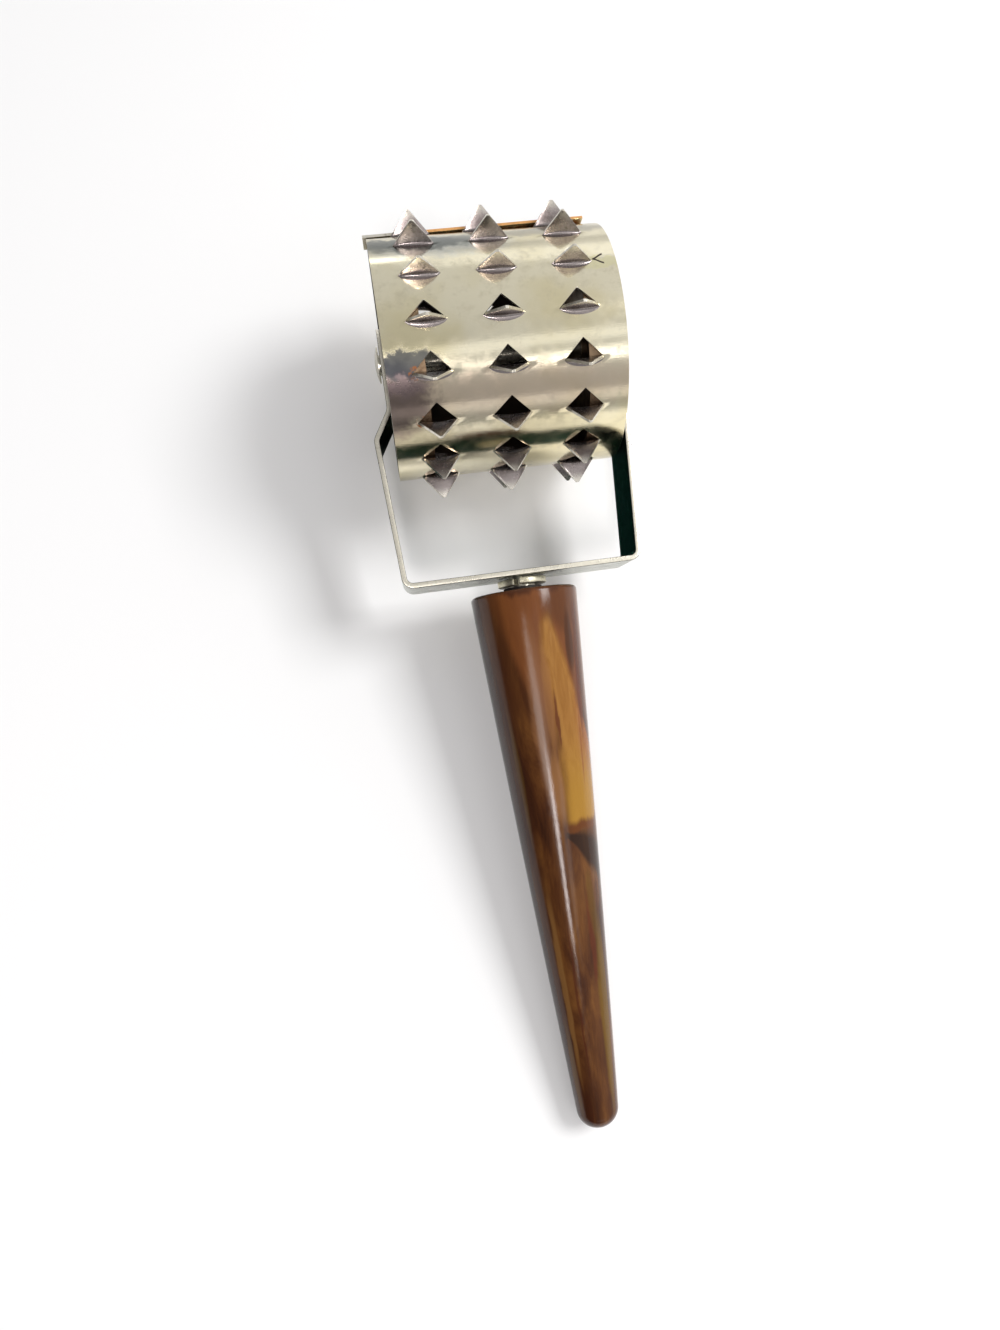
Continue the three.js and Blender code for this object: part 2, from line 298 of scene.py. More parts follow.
def add_object(name: str, data: ID) -> Object:
    """Add an object to the scene.

    Args:
        name: The object's name.
        data: What it shows: a mesh, a light or a camera.

    Returns:
        The object, at the origin.
    """
    made = bpy.data.objects.new(name, data)
    bpy.context.collection.objects.link(made)
    return made


def make_mesh(name: str, bm: BMesh, finishes: Sequence["Look"]) -> Mesh:
    """Turn a shape into a mesh.

    Args:
        name: The mesh's name.
        bm: The shape, which is used up.
        finishes: Its finishes, in the order of the faces' indices.

    Returns:
        The mesh.
    """
    mesh = bpy.data.meshes.new(name)
    bm.to_mesh(mesh)
    bm.free()
    for finish in finishes:
        mesh.materials.append(finish.make())
    return mesh


def make_piece(
    name: str,
    bm: BMesh,
    finishes: Sequence["Look"],
    body: Body,
    node: str,
    smooth_angle: float = 35,
) -> Object:
    """Turn a shape in the tool's millimetres into a piece of the model.

    Args:
        name: The piece's name.
        bm: Its shape, which is used up.
        finishes: Its finishes, in the order of the faces' indices.
        body: The body that it moves with.
        node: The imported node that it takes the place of.
        smooth_angle: Edges flatter than this are shaded smooth.

    Returns:
        The piece, at the origin with its place in its mesh.
    """
    bm.transform(REST.matrix())
    mesh = make_mesh(name, bm, finishes)
    piece = add_object(name, mesh)
    shade(mesh, smooth_angle)
    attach(piece, body.value)
    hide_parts(node)
    LOG.info("%s: %d faces", name, len(mesh.polygons))
    return piece


def settle_modifiers(piece: Object, smooth_angle: float) -> None:
    """Put the result of a piece's modifiers into its mesh and take them off.

    Args:
        piece: The piece.
        smooth_angle: Edges flatter than this are shaded smooth.
    """
    graph = bpy.context.evaluated_depsgraph_get()
    settled = bpy.data.meshes.new_from_object(piece.evaluated_get(graph))
    piece.modifiers.clear()
    settled.name = piece.name
    piece.data = settled
    shade(settled, smooth_angle)


# Finishes


def linear(code: str) -> Colour:
    """Turn a screen colour into a linear one.

    Args:
        code: The screen colour in six hex digits.

    Returns:
        The linear colour, solid.
    """
    colour = []
    for place in (0, 2, 4):
        share = int(code[place : place + 2], 16) / 255
        colour.append(((share + 0.055) / 1.055) ** 2.4 if share > 0.04045 else share / 12.92)
    return (*colour, 1.0)


@dataclass(frozen=True)
class Noise:
    """A soft noise: its size and grain, and how far each direction is drawn together."""

    scale: float
    detail: float
    roughness: float = 0.55
    distortion: float = 0.0
    stretch: Triple = (1.0, 1.0, 1.0)


class Tree:
    """A material's or world's node tree, with short ways to add nodes and join them."""

    def __init__(self, tree: bpy.types.NodeTree) -> None:
        """Take over a tree and empty it."""
        self.tree = tree
        tree.nodes.clear()

    def add(self, kind: str, values: Union[Sequence, dict] = (), **settings: object) -> Node:
        """Add a node and fill or link its inputs.

        Args:
            kind: The node's type, without ShaderNode in front.
            values: Numbers, hex colours or sockets, for the first inputs or by place or name.
            settings: The node's own settings.

        Returns:
            The node.
        """
        node = self.tree.nodes.new("ShaderNode" + kind)
        for name, value in settings.items():
            setattr(node, name, value)
        for key, value in values.items() if isinstance(values, dict) else enumerate(values):
            if isinstance(value, Socket):
                self.tree.links.new(value, node.inputs[key])
            else:
                node.inputs[key].default_value = linear(value) if isinstance(value, str) else value
        return node

    def math(self, work: str, *values: Value, clamp: bool = False) -> Socket:
        """Return the result of a sum on one, two or three values."""
        return self.add("Math", values, operation=work, use_clamp=clamp).outputs[0]

    def minus(self, first: Value, second: Value) -> Socket:
        """Return the difference of two values."""
        return self.math("SUBTRACT", first, second)

    def apart(self, first: Value, second: Value) -> Socket:
        """Return how far two values lie apart."""
        return self.math("ABSOLUTE", self.minus(first, second))

    def product(self, *values: Value) -> Socket:
        """Return the product of values."""
        return reduce(lambda first, second: self.math("MULTIPLY", first, second), values)

    def highest(self, *values: Value) -> Socket:
        """Return the highest of values."""
        return reduce(lambda first, second: self.math("MAXIMUM", first, second), values)

    def angle(self, side: Value, up: Value) -> Socket:
        """Return the angle in degrees from the upward direction towards a side."""
        return self.product(self.math("ARCTAN2", side, up), math.degrees(1))

    def spread(
        self, value: Value, low: float, high: float, to_low: float = 0.0, to_high: float = 1.0
    ) -> Socket:
        """Map a range of values smoothly to another one, held at both ends."""
        values = (value, low, high, to_low, to_high)
        return self.add("MapRange", values, interpolation_type="SMOOTHSTEP").outputs[0]

    def ramp(
        self, value: Value, stops: Sequence[tuple[float, Colour]], kind: str = "LINEAR"
    ) -> Socket:
        """Turn a value into a colour.

        Args:
            value: The value.
            stops: The places and linear colours of the ramp, in order.
            kind: How it runs from stop to stop.

        Returns:
            The colour.
        """
        node = self.add("ValToRGB", (value,))
        node.color_ramp.interpolation = kind
        points = node.color_ramp.elements
        points.remove(points[-1])
        points[0].position = stops[0][0]
        for place, _ in stops[1:]:
            points.new(place)
        for point, (_, colour) in zip(points, stops):
            point.color = colour
        return node.outputs[0]

    def track(self, value: Value, points: Pairs) -> Socket:
        """Let a value run smoothly through levels.

        Args:
            value: The place.
            points: The places and their levels, in order.

        Returns:
            The level at the place, held past the first and last points.
        """
        start, run = points[0][0], points[-1][0] - points[0][0]
        low = min(level for _, level in points)
        rise = max(level for _, level in points) - low
        stops = [
            ((place - start) / run, (*[(level - low) / rise] * 3, 1.0)) for place, level in points
        ]
        share = self.math("DIVIDE", self.minus(value, start), run)
        return self.math("MULTIPLY_ADD", self.ramp(share, stops, "CARDINAL"), rise, low)

    def mix(self, share: Value, first: Value, second: Value) -> Socket:
        """Return two colours mixed by a share."""
        values = {0: share, 6: first, 7: second}
        return self.add("Mix", values, data_type="RGBA", clamp_factor=True).outputs[2]

    def noise(self, point: Value, look: Noise) -> Socket:
        """Make soft noise around 0.5.

        Args:
            point: The shaded point.
            look: The kind of noise.

        Returns:
            The noise at the point.
        """
        drawn = self.add("VectorMath", (point, look.stretch), operation="MULTIPLY").outputs[0]
        values = {
            "Vector": drawn,
            "Scale": look.scale,
            "Detail": look.detail,
            "Roughness": look.roughness,
            "Distortion": look.distortion,
        }
        return self.add("TexNoise", values, noise_dimensions="3D").outputs[0]

    def split(self, point: Socket) -> tuple[Socket, ...]:
        """Return the three parts of a point."""
        return tuple(self.add("SeparateXYZ", (point,)).outputs)

    def on_tool(self) -> Socket:
        """Return the shaded point in the tool's millimetres.

        Returns:
            The point, from the object coordinates.
        """
        values = {
            "Vector": self.add("TexCoord").outputs["Object"],
            "Location": REST.axle,
            "Rotation": (REST.tilt, 0, 0),
            "Scale": (MM, MM, MM),
        }
        return self.add("Mapping", values, vector_type="TEXTURE").outputs[0]

    def on_drum(self, point: Socket) -> tuple[Socket, Socket, Socket]:
        """Find a point's place on the drum.

        Args:
            point: The point in the tool's millimetres.

        Returns:
            Its place along the drum, its angle round it and its height over the sheet.
        """
        across, down, up = self.split(point)
        squares = self.math("MULTIPLY_ADD", down, down, self.product(up, up))
        height = self.minus(self.math("SQRT", squares), DRUM_RADIUS)
        return self.minus(across, DRUM_SHIFT), self.angle(self.product(down, -1.0), up), height

    def bump(self, height: Value, strength: float, distance: float) -> Socket:
        """Return a normal bent by a height, distance in metres."""
        values = {"Strength": strength, "Distance": distance, "Height": height}
        return self.add("Bump", values).outputs[0]

    def surface(self, **inputs: Value) -> None:
        """Add the principled shader and the output.

        Args:
            inputs: Values by the sockets' names, with underscores for spaces.
        """
        values = {name.replace("_", " "): value for name, value in inputs.items()}
        shader = self.add("BsdfPrincipled", values)
        self.add("OutputMaterial", {"Surface": shader.outputs[0]})


@dataclass(frozen=True)
class Look:
    """A finish: each kind puts its own nodes into its material."""

    name: str

    @cache
    def make(self) -> Material:
        """Build the material, once for all the pieces that have it.

        Returns:
            The material, under the finish's name.
        """
        material = bpy.data.materials.new(self.name)
        material.use_nodes = True
        self.paint(Tree(material.node_tree))
        return material

    def paint(self, tree: Tree) -> None:
        """Put the finish's nodes into an empty tree."""
        raise NotImplementedError


@dataclass(frozen=True)
class Stain:
    """A soft-edged oval of another tone, placed by two coordinates on its surface."""

    x: float
    y: float
    reach_x: float
    reach_y: float
    tone: str
    share: float
    edge: float = 0.8
    grime: float = 0.0

    def cover(self, tree: Tree, x: Socket, y: Socket) -> Socket:
        """Work out how far the stain covers the shaded point.

        Args:
            tree: The material's tree.
            x: The point's first coordinate.
            y: Its second one.

        Returns:
            The stain's share in its middle, falling to 0 at the oval's edge.
        """
        across = tree.math("DIVIDE", tree.minus(x, self.x), self.reach_x)
        along = tree.math("DIVIDE", tree.minus(y, self.y), self.reach_y)
        squares = tree.math("ADD", tree.product(across, across), tree.product(along, along))
        within = tree.math("SUBTRACT", 1.0, squares, clamp=True)
        return tree.spread(within, 0.0, self.edge, 0.0, self.share)


@dataclass(frozen=True)
class PlatedSheet(Look):
    """The drum's worn plating: clouded nickel tones, stain patches, painted reflection bands round
    the drum, an inner face painted near-black as shade inside the closed drum, and rust.
    """

    name: str = "worn_plated_sheet"
    clean: str = "f6eed3"
    yellowed: str = "ece1bb"
    tarnished: str = "c4baa1"
    # Painted shade: the sheet's inner face, seen through the holes, goes near-black and dull as if
    # shaded inside the closed drum.
    inner_face_shade_tones: tuple[str, str] = ("1d1a16", "3a2a1c")
    rust_tones: tuple[str, str] = ("b06a2c", "6a3a1c")
    glancing: Colour = (0.75, 0.75, 0.75, 1.0)
    slow: Noise = Noise(0.05, 3.0)
    grain: Noise = Noise(0.35, 6.0, 0.65)
    speck: Noise = Noise(0.9, 5.0, 0.7)
    scratch: Noise = Noise(1.2, 3.0, 0.6, stretch=(0.3, 2.4, 2.4))
    scratched: tuple[float, float] = (0.05, 0.0002)
    yellow_band: Band = (0.38, 0.62)
    tarnish_band: Band = (0.45, 0.8, 0.0, 0.45)
    rough_band: Band = (0.35, 0.75, 0.13, 0.24)
    inner_face_shade_band: Band = (-0.5, -0.3, 1.0, 0.0)
    dull_metal: float = -0.85
    dull_rough: float = 0.4
    ragged: tuple[float, float] = (9.0, 14.0)
    stains_and_painted_reflections: tuple[Stain, ...] = (
        # Painted reflection: a pale mauve band right round the drum.
        Stain(2.0, 35.0, 46.0, 16.0, "e0c4b0", 0.5, 1.0),
        # Painted reflection: a cooler tint over the far upper side.
        Stain(-12.0, -42.0, 22.0, 14.0, "cdd2d4", 0.6, 1.0),
        Stain(-26.0, 36.0, 12.0, 24.0, "7d6c68", 0.9),
        Stain(-21.5, 19.5, 9.0, 7.5, "343a42", 0.9, 0.6, 0.85),
        Stain(-23.0, 29.0, 8.0, 6.0, "564a52", 0.6, 0.9, 0.5),
        Stain(21.0, -20.0, 9.0, 5.0, "e9e66f", 0.18, 0.5),
        # Painted reflections: darker bands over the far upper side, left and right, and over the
        # lower front.
        Stain(-17.0, -45.0, 20.0, 10.0, "5f6462", 0.85),
        Stain(12.0, -50.0, 26.0, 8.0, "8c8a86", 0.6, 1.0),
        Stain(-8.0, 55.0, 30.0, 9.0, "978c74", 0.5, 1.0),
    )
    crack: tuple[float, float] = (22.1, -21.6)
    crack_fork: Band = (-1.2, 1.3, 0.0, 2.6)
    crack_width: Band = (0.3, 0.8, 1.0, 0.0)
    crack_reach: Band = (1.1, 1.35, 1.0, 0.0)
    seam_start: Band = (-92.0, -88.0, 0.0, 1.0)
    seam_end: Band = (-74.0, -71.5, 1.0, 0.0)
    seam_middle: float = 4.0
    seam_reach: Band = (19.0, 21.0, 1.0, 0.0)
    seam_specks: Band = (0.3, 0.5, 0.0, 1.0)
    rust_spots: tuple[Stain, ...] = (
        Stain(-20.0, 24.0, 1.6, 3.4, "b06a2c", 1.0, 0.4),
        Stain(-19.6, 46.5, 1.6, 3.4, "b06a2c", 1.0, 0.4),
    )
    spot_specks: Band = (0.42, 0.55, 0.0, 1.0)

    def paint(self, tree: Tree) -> None:
        """Lay the plating, its stain patches and painted reflections, its inner face's painted
        shade and its rust over each other.

        Args:
            tree: The material's empty tree.
        """
        point = tree.on_tool()
        across, turn, height = tree.on_drum(point)
        grain = tree.noise(point, self.grain)
        slow = tree.spread(tree.noise(point, self.slow), *self.yellow_band)
        tone = tree.mix(slow, self.clean, self.yellowed)
        tone = tree.mix(tree.spread(grain, *self.tarnish_band), tone, self.tarnished)
        tone, grime = self.with_stains_and_painted_reflections(tree, grain, across, turn, tone)
        # Painted shade on the sheet's inner face, inside the closed drum.
        inside = tree.spread(height, *self.inner_face_shade_band)
        inside = tree.highest(inside, self.cracked(tree, across, turn))
        rust = self.rusted(tree, tree.noise(point, self.speck), across, turn)
        tone = tree.mix(inside, tone, tree.mix(grain, *self.inner_face_shade_tones))
        tone = tree.mix(rust, tone, tree.mix(grain, *self.rust_tones))
        dull = tree.highest(inside, rust, grime)
        rough = tree.spread(grain, *self.rough_band)
        tree.surface(
            Base_Color=tone,
            Metallic=tree.math("MULTIPLY_ADD", dull, self.dull_metal, 1.0),
            Roughness=tree.math("MULTIPLY_ADD", dull, self.dull_rough, rough),
            Specular_Tint=self.glancing,
            Normal=tree.bump(tree.noise(point, self.scratch), *self.scratched),
        )

    def with_stains_and_painted_reflections(
        self, tree: Tree, grain: Socket, across: Socket, turn: Socket, tone: Socket
    ) -> tuple[Socket, Value]:
        """Put the drum's stain patches and its painted reflection bands over a colour.

        Args:
            tree: The material's tree.
            grain: Noise that makes their edges ragged.
            across: The shaded point's place along the drum.
            turn: Its angle round the drum.
            tone: The colour under the stain patches and painted reflections.

        Returns:
            The colour with them laid over, and the share of dull grime.
        """
        wander = tree.minus(grain, 0.5)
        across = tree.math("MULTIPLY_ADD", wander, self.ragged[0], across)
        turn = tree.math("MULTIPLY_ADD", wander, self.ragged[1], turn)
        grime: Value = 0.0
        for stain in self.stains_and_painted_reflections:
            share = stain.cover(tree, across, turn)
            tone = tree.mix(share, tone, stain.tone)
            if stain.grime:
                grime = tree.highest(grime, tree.product(share, stain.grime))
        return tone, grime

    def cracked(self, tree: Tree, across: Socket, turn: Socket) -> Socket:
        """Find the small forked crack at one tooth's corner.

        Args:
            tree: The material's tree.
            across: The shaded point's place along the drum.
            turn: Its angle round the drum.

        Returns:
            The share of the crack.
        """
        away = tree.minus(across, self.crack[0])
        fork = tree.apart(tree.apart(turn, self.crack[1]), tree.spread(away, *self.crack_fork))
        reach = tree.spread(tree.math("ABSOLUTE", away), *self.crack_reach)
        return tree.product(tree.spread(fork, *self.crack_width), reach)

    def rusted(
        self, tree: Tree, speck: Socket, across: Socket, turn: Socket
    ) -> Socket:
        """Find the rust under the lapped end and at two holes' corners.

        Args:
            tree: The material's tree.
            speck: Noise that breaks the rust up.
            across: The shaded point's place along the drum.
            turn: Its angle round the drum.

        Returns:
            The share of rust.
        """
        share = tree.product(
            tree.spread(turn, *self.seam_start),
            tree.spread(turn, *self.seam_end),
            tree.spread(tree.apart(across, self.seam_middle), *self.seam_reach),
            tree.spread(speck, *self.seam_specks),
        )
        specks = tree.spread(speck, *self.spot_specks)
        for spot in self.rust_spots:
            share = tree.highest(share, tree.product(spot.cover(tree, across, turn), specks))
        return share


@dataclass(frozen=True)
class PlainMetal(Look):
    """A plated or bare metal with a soft change of tone, fine scratches and dull specks."""

    tone: str
    worn: str
    rough: float
    spread: float = 0.1
    metallic: float = 1.0
    glancing: str = "ffffff"
    cloud: Noise = Noise(0.25, 5.0, 0.65)
    speck: Noise = Noise(1.9, 3.0, 0.7)
    scratch: Noise = Noise(0.9, 3.0, 0.6, stretch=(3.0, 0.35, 3.0))
    cloud_wear: Band = (0.42, 0.7)
    speck_wear: Band = (0.35, 0.7)
    cloud_rough: Band = (0.3, 0.75)
    scratched: tuple[float, float] = (0.08, 0.0002)

    def paint(self, tree: Tree) -> None:
        """Wear the metal in clouds and specks.

        Args:
            tree: The material's empty tree.
        """
        point = tree.on_tool()
        cloud = tree.noise(point, self.cloud)
        speck = tree.spread(tree.noise(point, self.speck), *self.speck_wear)
        wear = tree.product(tree.spread(cloud, *self.cloud_wear), speck)
        rough = (*self.cloud_rough, self.rough, self.rough + self.spread)
        tree.surface(
            Base_Color=self.toned(tree, point, tree.mix(wear, self.tone, self.worn)),
            Metallic=self.metallic,
            Roughness=tree.spread(cloud, *rough),
            Specular_Tint=self.glancing,
            Normal=tree.bump(tree.noise(point, self.scratch), *self.scratched),
        )

    def toned(self, tree: Tree, point: Socket, tone: Socket) -> Socket:
        """Return the colour as it is; a kind of metal may change it over the piece."""
        return tone


@dataclass(frozen=True)
class ToothMetal(PlainMetal):
    """The teeth's metal, rubbed bright towards their tips."""

    shine: str = "dcd8cc"
    shine_band: Band = (2.6, 5.2, 0.0, 0.7)

    def toned(self, tree: Tree, point: Socket, tone: Socket) -> Socket:
        """Return the colour, brighter with the height over the sheet."""
        height = tree.on_drum(point)[2]
        return tree.mix(tree.spread(height, *self.shine_band), tone, self.shine)


@dataclass(frozen=True)
class CastResin(Look):
    """Polished cast resin in browns, with a large amber tongue near the top on its right side."""

    name: str = "marbled_cast_resin"
    flow: Noise = Noise(1.0, 5.0, 0.6, 0.9, (0.16, 0.03, 0.16))
    fine: Noise = Noise(1.0, 6.0, 0.65, 1.4, (0.5, 0.08, 0.5))
    scratch: Noise = Noise(1.0, 4.0, 0.7, stretch=(1.6, 0.5, 1.6))
    scratched: tuple[float, float] = (0.04, 0.0003)
    wander: tuple[float, float] = (16.0, 5.0)
    rough_band: Band = (0.35, 0.75, 0.12, 0.2)
    ior: float = 1.37
    browns: Sequence[tuple[float, str]] = (
        (0.32, "341a0c"),
        (0.44, "4a2811"),
        (0.53, "5b3618"),
        (0.62, "6b431e"),
        (0.74, "7c5529"),
    )
    vein: str = "3a1c0e"
    vein_band: Band = (0.45, 0.72, 0.0, 0.35)
    slope: tuple[float, float] = (1.5, -53.0)
    slope_band: Band = (-5.0, 8.0)
    light: tuple[str, str] = ("7d4a24", "6a3c1e")
    light_foot: Band = (18.0, 36.0, 0.85, 0.0)
    left: str = "36190d"
    left_band: Band = (-52.0, -26.0, 0.6, 0.0)
    left_above: float = 0.25
    # Painted shade: the left flank goes near-black.
    painted_shade_flank: str = "1f0f08"
    painted_shade_flank_band: Band = (-78.0, -56.0, 0.85, 0.0)
    # Painted shade: the top edge goes darker under the washers.
    rim: str = "3a1d10"
    painted_top_edge_shade_band: Band = (0.2, 1.8, 0.75, 0.0)
    tongue_left: Pairs = ((4, 18), (9, 5), (20, 1), (30, 11), (45, 10), (60, 8))
    tongue_right: Pairs = ((4, 19), (12, 25), (22, 39), (30, 50), (38, 76), (44, 110))
    tongue_foot: float = 54.6
    left_edge: Band = (-6.0, 9.0)
    right_edge: Band = (-3.0, 6.0)
    top_edge: Band = (3.0, 9.0)
    foot: str = "5f3310"
    foot_band: Band = (-2.6, -1.6)
    amber: tuple[str, str] = ("996b32", "885a24")
    amber_band: Band = (0.3, 0.7)
    amber_foot: Band = (-0.8, 1.2)
    honey: str = "9f7626"
    honey_band: Band = (30.0, 50.0, 0.0, 0.75)
    burnt: str = "87480c"
    burnt_turn: Band = (30.0, 58.0)
    burnt_drop: Band = (34.0, 46.0, 0.8, 0.0)
    wedge: str = "27150b"
    wedge_line: Pairs = ((5, 57), (30, 60.5), (60, 64), (100, 66))
    wedge_width: Band = (2.0, 50.0, 0.8, 5.5)
    wedge_band: Band = (0.5, 1.1, 0.9, 0.0)
    wedge_start: Band = (0.0, 8.0)
    wedge_end: Band = (110.0, 130.0, 1.0, 0.0)
    streaks_and_painted_highlights: tuple[Stain, ...] = (
        Stain(-37, 93, 8, 26, "7e582f", 0.8),
        Stain(-14, 96, 3, 22, "4a200d", 0.7),
        Stain(-52, 112, 9, 14, "61420f", 0.6),
        Stain(-50, 42, 6, 20, "5c4019", 0.6),
        Stain(27, 82, 7, 13, "5e280e", 0.6),
        Stain(42, 100, 16, 28, "6c4f12", 0.75),
        Stain(34, 74, 10, 9, "5c4113", 0.6),
        Stain(40, 13, 9, 9, "3f2312", 0.85),
        Stain(38, 4, 34, 8, "48260f", 0.6),
        Stain(-44, 14, 17, 24, "4a2813", 0.55),
        # Painted highlight: these three lighter patches stand in for the broad soft reflection on
        # the upper side.
        Stain(4, 26, 8, 15, "8c5f36", 0.6),
        Stain(-10, 28, 12, 26, "865b3a", 0.55),
        Stain(2, 46, 10, 10, "93663c", 0.6),
        Stain(13, 31, 2.4, 8, "5a2c10", 0.85),
        Stain(49, 24, 5, 13, "5c280f", 0.8),
        Stain(43, 36, 2, 12, "7a4010", 0.6),
        Stain(57, 16, 12, 14, "4a2411", 0.8),
        Stain(-30, 121, 12, 5, "3e1c0b", 0.7),
        Stain(30, 122, 12, 4, "42200c", 0.6),
    )

    def paint(self, tree: Tree) -> None:
        """Lay the tongue over the browns, then each streak and each lighter patch of painted
        highlight.

        Args:
            tree: The material's empty tree.
        """
        point = tree.on_tool()
        across, down, up = tree.split(point)
        flow, fine = tree.noise(point, self.flow), tree.noise(point, self.fine)
        wander = tree.minus(flow, 0.5)
        drop = tree.minus(tree.product(down, -1.0), HANDLE_TOP)
        turn = tree.math("MULTIPLY_ADD", wander, self.wander[0], tree.angle(across, up))
        drop = tree.math("MULTIPLY_ADD", wander, self.wander[1], drop)
        tone = self.body(tree, turn, drop, flow, fine)
        tone = self.swirled(tree, turn, drop, fine, tone)
        for streak in self.streaks_and_painted_highlights:
            tone = tree.mix(streak.cover(tree, turn, drop), tone, streak.tone)
        scratch = tree.noise(point, self.scratch)
        tree.surface(
            Base_Color=tone,
            Roughness=tree.spread(scratch, *self.rough_band),
            IOR=self.ior,
            Normal=tree.bump(scratch, *self.scratched),
        )

    def body(
        self, tree: Tree, turn: Socket, drop: Socket, flow: Socket, fine: Socket
    ) -> Socket:
        """Mix the handle's browns: veins, a darker left side, a lighter top, a near-black left
        flank of painted shade and a top edge darkened as painted shade under the washers.

        Args:
            tree: The material's tree.
            turn: The angle round the handle from its upper side towards +X, drawn out of true.
            drop: The place down the handle from its top, drawn out of true.
            flow: Slow noise along the handle.
            fine: Finer noise along the handle.

        Returns:
            The colour.
        """
        tone = tree.ramp(flow, [(place, linear(code)) for place, code in self.browns])
        tone = tree.mix(tree.spread(fine, *self.vein_band), tone, self.vein)
        slope = tree.minus(turn, tree.math("MULTIPLY_ADD", drop, *self.slope))
        high = tree.spread(slope, *self.slope_band)
        high = tree.product(high, tree.spread(drop, *self.light_foot))
        tone = tree.mix(high, tone, tree.mix(fine, *self.light))
        low = tree.spread(slope, *self.slope_band, 1.0, self.left_above)
        tone = tree.mix(tree.product(low, tree.spread(turn, *self.left_band)), tone, self.left)
        # Painted shade on the left flank.
        tone = tree.mix(tree.spread(turn, *self.painted_shade_flank_band), tone, self.painted_shade_flank)
        # Painted shade along the top edge.
        return tree.mix(tree.spread(drop, *self.painted_top_edge_shade_band), tone, self.rim)

    def swirled(
        self, tree: Tree, turn: Socket, drop: Socket, fine: Socket, tone: Socket
    ) -> Socket:
        """Put the amber tongue, its brown foot and the dark wedge below it over a colour.

        Args:
            tree: The material's tree.
            turn: The angle round the handle, drawn out of true.
            drop: The place down the handle, drawn out of true.
            fine: Finer noise along the handle.
            tone: The colour under the tongue.

        Returns:
            The swirled colour.
        """
        off = tree.apart(drop, tree.track(turn, self.wedge_line))
        off = tree.math("DIVIDE", off, tree.spread(turn, *self.wedge_width))
        wedge = tree.product(
            tree.spread(off, *self.wedge_band),
            tree.spread(turn, *self.wedge_start),
            tree.spread(turn, *self.wedge_end),
        )
        tone = tree.mix(wedge, tone, self.wedge)
        from_left = tree.minus(turn, tree.track(drop, self.tongue_left))
        from_right = tree.minus(tree.track(drop, self.tongue_right), turn)
        from_foot = tree.minus(self.tongue_foot, drop)
        inside = tree.product(
            tree.spread(from_left, *self.left_edge),
            tree.spread(from_right, *self.right_edge),
            tree.spread(drop, *self.top_edge),
        )
        foot = tree.product(inside, tree.spread(from_foot, *self.foot_band))
        tone = tree.mix(foot, tone, self.foot)
        amber = tree.mix(tree.spread(fine, *self.amber_band), *self.amber)
        amber = tree.mix(tree.spread(drop, *self.honey_band), amber, self.honey)
        burnt = tree.spread(turn, *self.burnt_turn)
        burnt = tree.product(burnt, tree.spread(drop, *self.burnt_drop))
        amber = tree.mix(burnt, amber, self.burnt)
        above = tree.product(inside, tree.spread(from_foot, *self.amber_foot))
        return tree.mix(above, tone, amber)


@dataclass(frozen=True)
class PaleFloor(Look):
    """The white ground, which glows a little to the camera and in reflections."""

    name: str = "pale_floor"
    white: float = 0.89
    glow: float = 0.03

    def paint(self, tree: Tree) -> None:
        """Add the glow to a plain white.

        Args:
            tree: The material's empty tree.
        """
        seen = tree.add("LightPath").outputs
        rays = (seen[f"Is {kind} Ray"] for kind in ("Camera", "Glossy", "Transmission"))
        glow = tree.product(tree.highest(*rays), self.glow)
        plain = tree.add("BsdfDiffuse", {"Color": (self.white, self.white, self.white, 1.0)})
        light = tree.add("Emission", {"Color": "ffffff", "Strength": glow})
        both = tree.add("AddShader", (plain.outputs[0], light.outputs[0]))
        tree.add("OutputMaterial", {"Surface": both.outputs[0]})


# The roller


class Finish(Enum):
    """Places of the drum's finishes; a cut rim takes the one after its sheet's."""

    SHEET = 0
    TOOTH = 2
    LAP = 4
    CLEAN_LAP = 6


